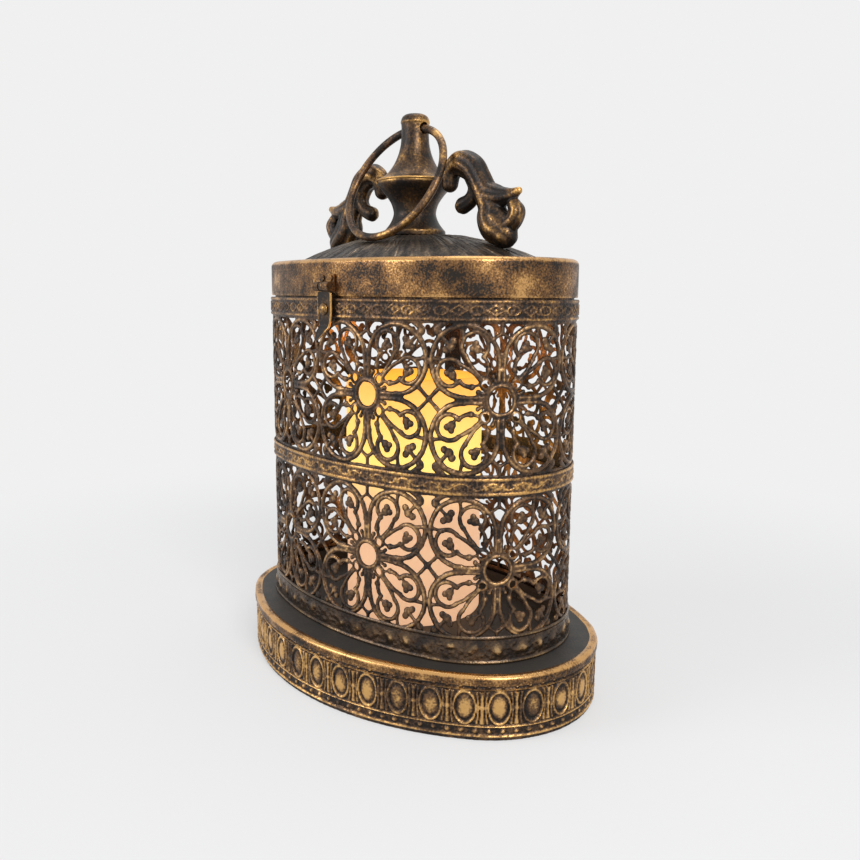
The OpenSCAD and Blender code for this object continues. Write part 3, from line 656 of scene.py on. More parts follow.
class Finishes:
    """Every finish on the lantern, made once."""

    def __init__(self) -> None:
        """Makes the materials."""
        # Stamped brass sheet under a brown-black patina: hollows stay near black, crests catch broken gold.
        self.bronze = RubbedMetal("patinated_stamped_bronze", gold="#dcae6e", bare=0.08, gain=1.05).make()
        # Pierced castings: the same patina, a little glossier, with duller gold in worn patches.
        self.openwork = RubbedMetal(
            "patinated_openwork_casting",
            gold="#c49c6c",
            bare=0.16,
            gain=0.8,
            patch=1.4,
            speck=0.9,
            rough_patina=0.4,
        ).make()
        # Embossed band: the same patina, more speckled and grainier.
        self.band = RubbedMetal("patinated_embossed_band", bare=0.08, speck=1.5, grain_depth=0.16).make()
        # Foot band: a lumpy casting, nearly black and glossy, brown on its lumps.
        self.foot = RubbedMetal(
            "patinated_foot_band",
            patina="#2b2522",
            brown="#62503f",
            gold="#bb9a6e",
            bare=0.14,
            patch=1.0,
            speck=0.7,
            rough_patina=0.22,
            rough_gold=0.24,
            grain_depth=0.2,
        ).make()
        # Gilt rim: rubbed gold paint, broken by dark specks and cloudy tarnish.
        self.gilt = RubbedMetal(
            "tarnished_gilt_rim",
            patina="#231d18",
            brown="#765638",
            gold="#d3a368",
            bare=0.27,
            gain=0.75,
            patch_mm=15.0,
            patch=2.1,
            speck_mm=0.9,
            speck=1.5,
            rough_gold=0.27,
        ).make()
        # Cast zinc in bronze paint: glossy near-black in the hollows, brassy along each crest.
        self.cast = RubbedMetal(
            "painted_casting",
            patina="#1f1b19",
            brown="#5c4734",
            gold="#c2965a",
            bare=0.04,
            gain=1.1,
            patch=2.0,
            patch_mm=15.0,
            rough_patina=0.4,
        ).make()
        # Drawn wire: handled dark bronze with gold along it in places.
        self.wire = RubbedMetal(
            "handled_bronze_wire", bare=0.16, gain=0.62, patch=1.4, patch_mm=9.0, rough_gold=0.3
        ).make()
        # Stamped dome: grey-brown lacquer, paler along each stroke.
        self.dome = RubbedMetal(
            "brushed_lacquer_dome", patina="#1f1b1a", brown="#5d5348", gold="#a8937c", bare=0.12, gain=0.95
        ).make()
        # Flat plate: matt grey-brown lacquer with faint rubs.
        self.plate = RubbedMetal(
            "matt_lacquered_plate",
            patina="#393735",
            brown="#524e4a",
            gold="#7d6c54",
            bare=0.2,
            patch=0.9,
            speck=0.9,
            metal_patina=0.3,
            rough_patina=0.6,
            rough_gold=0.5,
        ).make()
        # Paraffin, with a painted glow that stands for the lamp inside it.
        self.wax = LitWax().make()
        # Injection-moulded ivory polystyrene: even, faintly glossy.
        self.ivory = Moulded("moulded_ivory_styrene", "#e9e4d6", "#ddd6c4").make()
        # Printed shrink sleeve over a steel can.
        self.cell = Moulded("shrink_sleeve_cell", "#7f8b94", "#6a7780", rough=0.3, metallic=0.4).make()
        # Green solder mask on glass-epoxy board.
        self.board = Moulded("solder_mask_board", "#2f6b45", "#27593a", rough=0.35).make()
        # Warm epoxy lens of the lamp.
        self.lens = Moulded(
            "lit_epoxy_lens", "#fff0c4", "#ffe2a0", rough=0.2, glow="#ffc860", glow_strength=3.0
        ).make()
        # Moulded black ABS with a matt skin.
        self.black = Moulded("moulded_black_abs", "#26262a", "#1d1d20", rough=0.55).make()
        # Zinc-plated steel: grey, faintly mottled.
        self.zinc = Moulded("zinc_plated_steel", "#8f8f8a", "#7a7a76", rough=0.38, metallic=1.0).make()


@dataclass
class Base:
    """The oval foot: an embossed skirt under a rolled gilt rim."""

    oval: Oval = Oval(115.3, 78.0, 59.6)
    plate_z: float = 30.9
    eggs: int = 36
    egg_z: float = 16.5
    egg_half_w: float = 5.7
    egg_half_h: float = 8.6
    dart_half: float = 8.0
    ridges: tuple[Pair, ...] = ((2.2, 0.9), (7.1, 0.7), (25.7, 0.7))
    bead_rows: tuple[Pair, ...] = ((4.7, 1.25), (27.4, 1.0))
    beads_an_egg: float = 2.5
    ground: float = -1.75
    inner: float = -2.4
    columns: int = 1080
    rows: int = 62
    rim_columns: int = 480
    rim_crest: float = 32.1
    dent: float = 0.14

    def relief(self, s: Grid, z: Grid) -> Grid:
        """Height of the stamping: egg rings round domed yolks, three darts between them, ridges and beads.

        Args:
            s: distance round the oval.
            z: height above the floor.

        Returns:
            Heights above the ground, in mm.
        """
        pitch = self.oval.girth / self.eggs
        e, y = repeat(s, pitch), z - self.egg_z
        share = np.hypot(e / self.egg_half_w, y / self.egg_half_h)
        ring = bump((share - 0.94) * self.egg_half_w, 0.7)
        yolk = dome(share / 0.7)
        t, up = pitch / 2 - np.abs(e), np.abs(y) / self.dart_half
        within = np.abs(y) < self.dart_half + 0.2
        dart = 0.95 * bump(t, 0.95 + 0.9 * up**3) * within
        bead = 1.1 * bump(np.hypot(t, y), 1.7)
        side_dart = 0.85 * bump(t - (1.95 + 0.7 * up**2), 0.65 + 0.3 * up**3) * within
        ridges = highest(*(bump(z - at, half) for at, half in self.ridges))
        x = repeat(s, pitch / self.beads_an_egg)
        beads = 0.95 * highest(*(bump(np.hypot(x / 1.3, z - at), half) for at, half in self.bead_rows))
        return highest(ring, yolk, dart, bead, side_dart, ridges, beads)

    def skirt(self) -> Piece:
        """The skirt: the stamping round the oval, a little rough all over."""
        s, z = self.oval.steps(self.columns), np.linspace(0, self.plate_z, self.rows)
        height = self.relief(s, z)
        out = self.ground + np.clip(height + 0.12 * cloud(s, z, 1.3, 3), -0.2, 1.15)
        uneven = 0.8 + 0.4 * cloud(s, z, 14.0, 4)
        rub = np.clip(0.03 + height**1.7 * uneven, 0, 1)
        return stamped_band("embossed_skirt", self.oval, out, z, rub, self.inner)

    def rim(self) -> Piece:
        """The gilt rim: a flat face under a rolled edge that turns in over the plate."""
        roll = smooth_path(
            [(-1.1, 27.8), (-0.25, 27.85), (0.0, 28.6), (0.0, 30.6), (-0.35, 31.9), (-1.5, 32.75)]
            + [(-3.0, 32.85), (-4.2, 32.42)],
            26,
        )
        off, z = np.vstack([roll, [(-4.2, 32.2), (-1.2, 31.6)]]).T
        s = self.oval.steps(self.rim_columns)
        x, y = self.oval.place(s, off + (self.dent * cloud(s, 3 * z, 9.0, 5) - self.dent))
        streak = 0.2 * cloud(s / 4, 2 * z, 1.6, 6)
        rub = np.clip(0.12 + streak + 0.95 * bump(z - self.rim_crest, 1.2), 0, 1)
        return grid_piece("rolled_gilt_rim", x, y, z, rub)

    def build(self, finishes: Finishes) -> None:
        """Builds and dresses the base."""
        set_piece(self.skirt(), finishes.bronze, Body.LANTERN, Slot.BRONZE, "base_skirt")
        set_piece(self.rim(), finishes.gilt, Body.LANTERN, Slot.GILT, "base_rim")


class BandKind(Enum):
    """The three embossed bands of the body, by what is stamped on them."""

    GRANULAR = "granular_foot_band"
    VINE = "vine_middle_band"
    CHAIN = "chain_mouth_band"


@dataclass(frozen=True)
class BandPlan:
    """A band: its stamping, node and edges, the spread of its foot, its inner wall and how it is rubbed."""

    kind: BandKind
    node: str
    low: float
    high: float
    flare: float
    inner: float
    worn_crests: float
    worn_ground: float


@dataclass
class Wall:
    """The body: two strips of cast openwork rosettes between three embossed bands."""

    oval: Oval = Oval(98.35, 60.3, 51.76)
    band_columns: int = 900
    band_row: float = 0.45
    band_ground: float = -0.7
    band_depth: float = 0.65
    tile: float = 72.0
    first: float = 26.2
    lower_mid: float = 79.3
    upper_mid: float = 160.9
    strip_half: float = 36.4
    margin: float = 0.5
    back: float = -2.2
    edge: float = -1.75
    crest: float = 0.85
    columns_a_tile: int = 132
    rows: int = 136
    fillet: float = 0.004
    wobble: float = 0.003
    hub_hole: float = 0.082
    eyelet_at: float = 0.107
    eyelet_hole: float = 0.0275

    def band_relief(self, kind: BandKind, s: Grid, z: Grid, height: float) -> Grid:
        """Height of a band's stamping above its ground, between two rounded edge ridges.

        Args:
            kind: which band.
            s: distance round the oval.
            z: height above the band's lower edge.
            height: the band's height.

        Returns:
            Heights, in mm.
        """
        edges = 0.85 * np.maximum(bump(z - 0.9, 0.95), bump(height - 0.9 - z, 0.95))
        y = z - height / 2
        grain = np.clip(0.3 + 0.36 * cloud(s, z, 1.1, 7), 0, 1) * bump(y, height / 2)
        if kind is BandKind.CHAIN:
            pitch = self.oval.girth / 30
            x, x2 = repeat(s, pitch), repeat(s, pitch, 0.5)
            lozenge = bump(np.abs(x) / 1.7 + np.abs(y) - 2.3, 0.55)
            oval_link = bump((np.hypot(x2 / 3.1, y / 2.0) - 1) * 2.2, 0.55)
            curl = bump(y - 1.9 * np.sin(2 * FULL_TURN * s / pitch), 0.5) * (np.abs(y) < 2.2)
            dot = bump(np.hypot(x, y), 0.9)
            pattern = 0.95 * highest(lozenge, oval_link, 0.7 * curl, dot)
        elif kind is BandKind.VINE:
            pitch = self.oval.girth / 34
            wave = 1.5 * np.sin(FULL_TURN * s / pitch)
            x = repeat(s, pitch / 2, 0.5)
            leaf = bump(np.hypot(x / 2.4, (y + 0.7 * np.sign(wave)) / 1.2), 1.0)
            pattern = 0.85 * np.maximum(bump(y - wave, 0.65), leaf)
        else:
            x = repeat(s, self.oval.girth / 44)
            boss = 1.7 * bump(np.hypot(x / 5.2, y / 4.2), 1.0)
            pattern = np.maximum(boss * (0.5 + 0.6 * cloud(s, z, 3.0, 8)), 0)
        return highest(edges, pattern, grain)

    def band(self, plan: BandPlan) -> Piece:
        """One band: its stamping round the oval, over a foot that may spread.

        Args:
            plan: the band's sizes and stamping.

        Returns:
            The piece.
        """
        height = plan.high - plan.low
        s, z = self.oval.steps(self.band_columns), np.linspace(0, height, int(height / self.band_row))
        stamped = self.band_relief(plan.kind, s, z, height)
        out = self.band_ground + self.band_depth * stamped + plan.flare * (1 - z / height) ** 3
        uneven = 0.7 + 0.45 * cloud(s, z, 12.0, 9)
        rub = np.clip((plan.worn_ground + plan.worn_crests * stamped**1.6) * uneven, 0, 1)
        return stamped_band(plan.kind.value, self.oval, out, plan.low + z, rub, plan.inner)

    def ribs(self, a: Grid, b: Grid) -> list[Rib]:
        """Ribs of a quarter rosette, each as the distance from its edge, its half width and its crest.

        A straight rib is the distance to a segment less its half width, a bent one the distance to an arc,
        and a bead or leaf the distance to a point. Shapes of the petals repeat across the diagonal, so they
        use the larger and the smaller coordinate.

        Args:
            a: distance across from the rosette's middle, in shares of the tile.
            b: distance up from the rosette's middle, in shares of the tile.

        Returns:
            A list of ribs.
        """
        petal, tile = (np.maximum(a, b), np.minimum(a, b)), (a, b)
        hub = np.hypot(a, b)

        def ring(r: float, w: float, top: float) -> Rib:
            """A ring round the hub."""
            return np.abs(hub - r) - w, w, top

        def disc(x: float, y: float, r: float, half: float, top: float, on: tuple = petal) -> Rib:
            """A bead or part of a leaf."""
            return np.hypot(on[0] - x, on[1] - y) - r, half, top

        def bar(p: Pair, q: Pair, w: float, top: float, on: tuple = petal) -> Rib:
            """A straight rib with round ends."""
            dx, dy = q[0] - p[0], q[1] - p[1]
            t = np.clip(((on[0] - p[0]) * dx + (on[1] - p[1]) * dy) / (dx * dx + dy * dy), 0, 1)
            return np.hypot(on[0] - p[0] - t * dx, on[1] - p[1] - t * dy) - w, w, top

        def arc(c: Pair, r: float, mid: float, half: float, w: float, top: float) -> Rib:
            """A bent rib about c, from mid - half to mid + half degrees."""
            u, v = petal
            middle, reach = math.radians(mid), math.radians(half)
            turn = np.mod(np.arctan2(v - c[1], u - c[0]) - middle + math.pi, FULL_TURN) - math.pi
            turn = np.clip(turn, -reach, reach) + middle
            return np.hypot(u - c[0] - r * np.cos(turn), v - c[1] - r * np.sin(turn)) - w, w, top

        spur, _, spur_top = bar((0.385, 0.5), (0.45, 0.455), 0.019, 0.65, tile)
        return [
            arc((0.25, 0.25), 0.232, 45, 135, 0.018, 1.0),
            bar((0.25, 0.017), (0.13, 0.017), 0.014, 1.0),
            ring(0.0965, 0.0145, 1.0),
            ring(0.116, 0.009, 0.5),
            disc(self.eyelet_at, self.eyelet_at, 0.045, 0.018, 0.95),
            bar((0.12, 0.0), (0.3, 0.0), 0.01, 0.6),
            disc(0.2, 0.0, 0.02, 0.02, 1.1),
            disc(0.158, 0.055, 0.014, 0.014, 1.0),
            bar((0.125, 0.04), (0.158, 0.055), 0.009, 0.8),
            arc((0.35, 0.18), 0.087, -2.5, 137.5, 0.0145, 0.95),
            arc((0.471, -0.166), 0.444, 127.9, 13.4, 0.0136, 0.95),
            arc((0.211, 0.183), 0.093, -66.8, 26.8, 0.013, 0.9),
            disc(0.2, 0.087, 0.021, 0.018, 1.0),
            bar((0.15, 0.1), (0.2, 0.087), 0.008, 0.8),
            bar((0.3, 0.113), (0.33, 0.16), 0.009, 0.8),
            disc(0.332, 0.163, 0.03, 0.018, 0.8),
            disc(0.366, 0.176, 0.023, 0.016, 0.8),
            disc(0.334, 0.2, 0.02, 0.014, 0.8),
            bar((0.42, 0.42), (0.35, 0.35), 0.012, 0.8),
            disc(0.347, 0.347, 0.031, 0.018, 0.85),
            disc(0.383, 0.327, 0.025, 0.016, 0.85),
            bar((0.386, 0.256), (0.48, 0.268), 0.0115, 0.8),
            bar((0.406, 0.094), (0.5, 0.0), 0.013, 0.85, tile),
            disc(0.5, 0.0, 0.022, 0.02, 0.8, tile),
            disc(0.5, 0.25, 0.026, 0.02, 0.8, tile),
            bar((0.0, 0.52), (0.0, 0.43), 0.012, 0.8, tile),
            bar((0.0, 0.436), (0.062, 0.393), 0.011, 0.8, tile),
            (spur, 0.017, spur_top),
            disc(0.442, 0.44, 0.027, 0.018, 0.8, tile),
            (0.49 - b, 0.01, 0.5),
        ]

    def openwork(self, name: str, mid: float, tiles: tuple[int, int], seed: int) -> Piece:
        """Some rosettes of a strip: the ribs' joined outline cut from a grid, raised and given a back that is
        rubbed towards gold as painted candlelight.

        The outlines are joined by the logarithm of summed exponentials, which leaves small fillets, and the
        sheet is kept where the joined distance is below zero.

        Args:
            name: the piece's name.
            mid: height of the rosettes' middle.
            tiles: first rosette and the one after the last.
            seed: seed of the casting's unevenness.

        Returns:
            The piece.
        """
        columns = (tiles[1] - tiles[0]) * self.columns_a_tile + 1
        start, stop = (self.first + (tile - 0.5) * self.tile for tile in tiles)
        low, high = mid - self.strip_half - self.margin, mid + self.strip_half + self.margin
        across, up = np.linspace(start, stop, columns), np.linspace(low, high, self.rows)
        s, z = np.meshgrid(across, up, indexing="ij")
        x = np.mod((s - start) / self.tile, 1) - 0.5 + self.wobble * cloud(s, z, 8.0, seed)
        y = (z - mid) / self.tile + self.wobble * cloud(s, z, 8.0, seed + 1)
        a, b = np.minimum(np.abs(x), 0.5), np.abs(y)
        joined, height = np.zeros_like(a), np.zeros_like(a)
        for distance, half, top in self.ribs(a, b):
            joined += np.exp(np.clip(-distance / self.fillet, -60, 60))
            depth = np.clip(-distance / half, 0, 1)
            strip = 0.42 * dome(1 - np.minimum(depth / 0.2, 1))
            wire = dome(1 - np.clip((depth - 0.28) / 0.72, 0, 1))
            height = np.maximum(height, top * np.maximum(strip, wire))
        eyelet = self.eyelet_hole - np.hypot(a - self.eyelet_at, b - self.eyelet_at)
        away = highest(-self.fillet * np.log(joined), self.hub_hole - np.hypot(a, b), eyelet)
        away = away + self.wobble * cloud(s, z, 2.4, seed + 2)
        height = height + 0.16 * cloud(s, z, 1.2, seed + 3) + 0.1 * cloud(s, z, 3.1, seed + 5)
        height = np.clip(height, 0, 1.1)
        corner, face, cut = pierce(away)
        head, tail, share = cut[:, 0].astype(int), cut[:, 1].astype(int), cut[:, 2]
        flat = [grid.ravel() for grid in (s, z, height)]
        s, z, height = (
            np.concatenate([grid, grid[head] * (1 - share) + grid[tail] * share])[corner] for grid in flat
        )
        front = np.stack([*self.oval.place(s, self.edge + self.crest * height), z], -1)
        rear = np.stack([*self.oval.place(s, self.back), z], -1)
        rub = np.clip(height**3 * (0.55 + 0.5 * cloud(s, z, 9.0, seed + 4)), 0, 1)
        # Painted candlelight: the rear faces are rubbed towards gold all over, so the inner walls seen through
        # the openwork read as warmly lit by the candle.
        bare = np.clip(0.3 + 0.45 * cloud(s, z, 5.0, seed + 6), 0, 1)
        faces = with_back(face, len(corner))
        return write_mesh(name, np.vstack([front, rear]), faces, np.concatenate([rub, bare]), crease=70)

    def build(self, finishes: Finishes) -> None:
        """Builds and dresses the body's bands and strips."""
        plans = (
            (BandPlan(BandKind.GRANULAR, "bottom_band", 32.4, 46.4, 0.9, -0.95, 0.7, 0.05), finishes.foot),
            (BandPlan(BandKind.VINE, "middle_band", 115.7, 124.5, 0.0, -0.95, 1.6, 0.25), finishes.band),
            (BandPlan(BandKind.CHAIN, "top_band", 197.3, 207.2, 0.0, -2.2, 0.95, 0.03), finishes.band),
        )
        for plan, finish in plans:
            set_piece(self.band(plan), finish, Body.LANTERN, Slot.BRONZE, plan.node)
        parts = (("left", (-3, -1)), ("front", (-1, 1)), ("right", (1, 3)), ("back", (3, 4)))
        for node, mid, seed in (("lower_panel", self.lower_mid, 20), ("upper_panel", self.upper_mid, 30)):
            for part, tiles in parts:
                piece = self.openwork(f"{node}_rosettes_{part}", mid, tiles, seed)
                set_piece(piece, finishes.openwork, Body.LANTERN, Slot.BRONZE, node)


def pierce(away: Grid) -> tuple[Grid, Grid, Grid]:
    """Cuts a sheet out of a grid along the line where a distance is zero.

    Every cell is two triangles. One with all corners inside is kept, one with a single corner inside keeps
    its tip, and one with two keeps the four-sided rest. A cut edge's new point is where the distance passes
    zero along it.

    Args:
        away: distance outside the sheet on the grid, below zero within it.

    Returns:
        The point numbers in use, the triangles over them, and for each cut edge its inner and outer point
        and the share of the way between them.
    """
    columns, rows = away.shape
    number = np.arange(columns * rows).reshape(columns, rows)
    a, b, c, d = number[:-1, :-1], number[1:, :-1], number[1:, 1:], number[:-1, 1:]
    cells = np.concatenate([np.stack(three, -1).reshape(-1, 3) for three in ((a, b, c), (a, c, d))])
    flat = away.ravel()
    inside = flat[cells] < 0
    count = inside.sum(1)
    turn = np.arange(3)[None, :]
    one, tip = cells[count == 1], inside[count == 1].argmax(1)
    one = np.take_along_axis(one, (tip[:, None] + turn) % 3, 1)
    two, gap = cells[count == 2], (~inside[count == 2]).argmax(1)
    two = np.take_along_axis(two, (gap[:, None] + turn) % 3, 1)
    edges = np.concatenate([one[:, [0, 1]], one[:, [0, 2]], two[:, [1, 0]], two[:, [2, 0]]])
    edges, where = np.unique(edges, axis=0, return_inverse=True)
    n, m = len(one), len(two)
    first, second, third, fourth = np.split(where.ravel() + columns * rows, [n, 2 * n, 2 * n + m])
    faces = np.concatenate(
        [
            cells[count == 3],
            np.stack([one[:, 0], first, second], -1),
            np.stack([two[:, 1], two[:, 2], third], -1),
            np.stack([two[:, 2], fourth, third], -1),
        ]
    )
    share = -flat[edges[:, 0]] / (flat[edges[:, 1]] - flat[edges[:, 0]])
    used, faces = np.unique(faces, return_inverse=True)
    return used, faces.reshape(-1, 3), np.column_stack([edges, np.clip(share, 0.02, 0.98)])


def with_back(faces: Grid, count: int) -> Grid:
    """Closes a cut sheet: its faces turned over behind it, and a wall along each edge that one face uses.

    Args:
        faces: triangles of the front, over points numbered from 0.
        count: number of front points; each point's fellow behind it is numbered count higher.

    Returns:
        Triangles of the whole closed sheet.
    """
    edges = np.concatenate([faces[:, [0, 1]], faces[:, [1, 2]], faces[:, [2, 0]]])
    key = edges.min(1).astype(np.int64) * count + edges.max(1)
    _, where, uses = np.unique(key, return_inverse=True, return_counts=True)
    p, q = edges[uses[where.ravel()] == 1].T
    walls = [np.stack([q, p, p + count], -1), np.stack([q, p + count, q + count], -1)]
    return np.concatenate([faces, faces[:, ::-1] + count, *walls])


@dataclass
class Lid:
    """The lid: a gilt rim with a rounded shoulder and a dome stamped with long leaves."""

    oval: Oval = Oval(97.55, 59.5, 50.96)
    low: float = 208.1
    high: float = 226.9
    shoulder: float = 3.0
    wall: float = 1.2
    collar_half: float = 4.0
    rise: float = 15.2
    dome_share: float = 0.82
    seat_share: float = 0.29
    leaves: int = 44
    beads: int = 150
    columns: int = 900
    rim_columns: int = 480
    dent: float = 0.16
    grain: Pair = (500.0, 90.0)

    def rim(self) -> Piece:
        """The rim: an upright face, a quarter-round shoulder and a collar inside, with soft dents."""
        low, high, r, wall, collar = self.low, self.high, self.shoulder, -self.wall, self.collar_half
        turn = np.linspace(0, math.pi / 2, 9)
        face = np.column_stack([np.zeros(18), np.linspace(low, high - r, 18, endpoint=False)])
        face[0, 0], face[1, 1] = -0.25, low + 0.35
        shoulder = np.column_stack([-r + r * np.cos(turn), high - r + r * np.sin(turn)])
        inside = [(-7.0, high - 0.9), (-7.0, high - 2.4), (-3.0, high - 2.4), (wall, high - 4.2)]
        inside += [(wall, low + collar), (-2.8, low + collar), (-2.8, low - collar), (-2.0, low - collar)]
        inside += [(-2.0, low + 1.2), (wall, low + 1.2), (wall, low)]
        off, z = np.vstack([face, shoulder, inside]).T
        outer = np.arange(len(z)) < len(face) + len(shoulder)
        s = self.oval.steps(self.rim_columns)
        x, y = self.oval.place(s, off + (self.dent * cloud(s, z, 22.0, 11) - self.dent) * outer)
        # Gold along the top of the shoulder and, fainter, along the lower edge: partly wear, partly a painted
        # highlight, the bright line that light from above lays along the shoulder.
        worn = np.maximum(bump(z - (high - 1.0), 1.3), 0.5 * bump(z - low, 0.6))
        uneven = 0.2 * cloud(s, z, 12.0, 12)
        return grid_piece("gilt_lid_rim", x, y, z, np.clip(0.1 + worn + uneven, 0, 1) * outer)

    def leaf_relief(self, s: Grid, share: Grid) -> Grid:
        """Height of the dome's stamping: two rows of long leaves scored by strokes, and a beaded border.

        Args:
            s: distance round the oval as a share of its girth.
            share: share of the way out to the lid's edge.

        Returns:
            Heights, in mm.
        """
        bent = s + 0.004 * cloud(s * self.grain[0], share * self.grain[1], 14.0, 15)

        def leaf(shift: float, low: float, high: float) -> Grid:
            """A leaf between two shares: half-round across, widest past its middle."""
            x = np.mod(bent * self.leaves + shift, 1) - 0.5
            along = np.clip((share - low) / (high - low), 0, 1)
            width = 0.5 * np.sin(math.pi * along**0.8) ** 0.6 + 1e-6
            return dome(np.abs(x) / width) * (along > 0) * (along < 1)

        strokes = cloud(bent * 1500, share * 34, 4.0, 16)
        rows = np.maximum(leaf(0.0, 0.44, 0.86), 0.9 * leaf(0.5, 0.27, 0.6)) * (0.62 + 0.42 * strokes)
        bead = np.mod(s * self.beads, 1) - 0.5
        border = 0.7 * bump(np.hypot(bead * 3.1, (share - 0.935) * 60), 1.3)
        edge = 0.6 * bump((share - 0.975) * 60, 0.8)
        return highest(rows, border, edge)

    def top(self) -> Piece:
        """The dome: flat at the seat, a parabola down to a narrow ledge, stamped above and plain below."""
        inner = self.oval.grown(-self.shoulder - 0.1)
        s = np.linspace(-0.5, 0.5, self.columns, endpoint=False)[:, None]
        share = np.concatenate([[0.03, 0.12, 0.2], np.linspace(0.25, 1.0, 90)])[None, :]
        below = np.array([1.0, self.dome_share, 0.6, self.seat_share, 0.03])[None, :]

        def height(q: Grid) -> Grid:
            """Height of the dome at a share."""
            arch = self.rise * (1 - (np.maximum(q, self.seat_share) / self.dome_share) ** 2)
            return np.where(q >= self.dome_share, self.high, self.high + arch)

        relief = self.leaf_relief(s, share) * bump(np.clip(0.34 - share, 0, 1), 0.06)
        u, v = s * self.grain[0], share * self.grain[1]
        above = height(share) + 0.75 * relief - 0.35 + 0.06 * cloud(u, v, 1.8, 13)
        z = np.hstack([above, height(below) - self.wall + 0 * s])
        x, y = inner.place(s * inner.girth)
        across = np.hstack([share, below])
        worn = np.clip(relief**2 * (0.6 + 0.5 * cloud(u, v, 9.0, 14)), 0, 1)
        rub = np.hstack([worn, 0 * below + 0 * s])
        return grid_piece("leaf_stamped_dome", x * across, y * across, z, rub)

    def build(self, finishes: Finishes) -> None:
        """Builds and dresses the lid."""
        set_piece(self.rim(), finishes.gilt, Body.LID, Slot.GILT, "lid_rim")
        set_piece(self.top(), finishes.dome, Body.LID, Slot.PLATE, "lid_top")


@dataclass
class Finial:
    """The turned finial on the dome, and the carrying ring through its neck."""

    seat_z: float = 240.2
    bell_z: float = 268.6
    hole_z: float = 295.9
    hole_r: float = 3.04
    bore_half: float = 30.0
    ring_r: float = 32.6
    wire_r: float = 2.1
    ring_drop: float = 32.163
    ring_columns: int = 220
    wire_sides: int = 28

    def spool(self) -> Piece:
        """The spool: a stepped foot, a waist and a spread flange, rubbed at the foot's edge and the flange."""
        curve = smooth_path(
            [(16.6, 0.4), (16.6, 2.6), (15.4, 4.0), (13.2, 7.0), (11.7, 10.6), (11.6, 13.4), (12.9, 17.4)]
            + [(15.6, 21.4), (18.2, 24.4), (19.6, 26.2), (20.2, 27.4), (20.3, 28.3)],
            90,
        )
        foot = self.seat_z
        piece = turned("turned_spool", np.vstack([[(0, 0), (16.2, 0)], curve, [(0, 28.4)]]) + (0, foot))
        shares = [(0, 0.1), (1.8, 0.15), (2.7, 0.34), (3.8, 0.1), (7, 0.0), (23, 0.0), (26.8, 0.06)]
        shares += [(27.8, 0.5)]
        rub_heights(piece, [(foot + rise, share) for rise, share in shares], 41)
        return piece

    def bell(self) -> Piece:
        """The bell: a flared skirt, a neck with a bead under a round cap, and a bore for the ring."""
        curve = smooth_path(
            [(20.6, 0.0), (20.8, 0.3), (20.7, 0.9), (19.4, 1.5), (17.0, 2.6), (14.0, 5.4), (11.2, 9.4)]
            + [(9.1, 14.0), (7.9, 18.4), (7.45, 22.0), (7.3, 26.0), (7.4, 29.4), (7.75, 30.6), (7.6, 31.6)]
            + [(6.9, 33.4), (5.2, 34.7), (2.6, 35.15)],
            96,
        )
        flange = self.bell_z
        piece = turned("turned_bell", np.vstack([[(0, 0)], curve, [(0, 35.2)]]) + (0, flange))
        t, r = round_steps(40), np.array([0.0, self.hole_r, self.hole_r, 0.0])
        x = np.array([-1, -1, 1, 1]) * self.bore_half + 0 * t
        tool = grid_piece("bore_tool", x, r * np.cos(t), self.hole_z + r * np.sin(t), closed=False)
        cut = piece.modifiers.new("bore", "BOOLEAN")
        cut.operation, cut.object, cut.solver = "DIFFERENCE", tool, "EXACT"
        settle(piece)
        bpy.data.objects.remove(tool)
        piece.data.shade_smooth()
        piece.data.set_sharp_from_angle(angle=math.radians(50))
        shares = [(0, 0.8), (0.8, 1.0), (1.4, 0.4), (5, 0.23), (12, 0.26), (22, 0.24), (29, 0.36)]
        shares += [(30.6, 0.6), (31.8, 0.3), (35, 0.2)]
        rub_heights(piece, [(flange + rise, share) for rise, share in shares], 42)
        return piece

    def ring(self) -> Piece:
        """The ring: a round wire bent to an uneven circle, hung in the bore and leaning on the dome."""
        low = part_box("ring_handle")[0].z / MM
        lean = math.acos((self.hole_z - self.wire_r - low) / (self.ring_drop + self.ring_r))
        t, p = round_steps(self.ring_columns), round_steps(self.wire_sides).T
        wire = self.wire_r * (1 - 0.03 + 0.03 * np.sin(5 * t + 1) * np.sin(3 * t))
        reach = self.ring_r + wire * np.cos(p)
        x, along, off = reach * np.sin(t), self.ring_drop - reach * np.cos(t), wire * np.sin(p)
        y = -along * math.sin(lean) + off * math.cos(lean)
        z = self.hole_z - along * math.cos(lean) - off * math.sin(lean)
        rub = np.clip(0.28 + 0.3 * np.cos(p) + 0.45 * np.sin(7 * t) * np.sin(4 * t + 2), 0, 1)
        return grid_piece("bent_wire_ring", x, y, z, rub)

    def build(self, finishes: Finishes) -> None:
        """Builds and dresses the finial and its ring."""
        spool, bell = self.spool(), self.bell()
        set_piece(spool, finishes.cast, Body.LID, Slot.CAST, "finial_spool")
        set_piece(bell, finishes.cast, Body.LID, Slot.CAST, "finial_bell")
        set_piece(self.ring(), finishes.wire, Body.RING, Slot.BRONZE, "ring_handle")


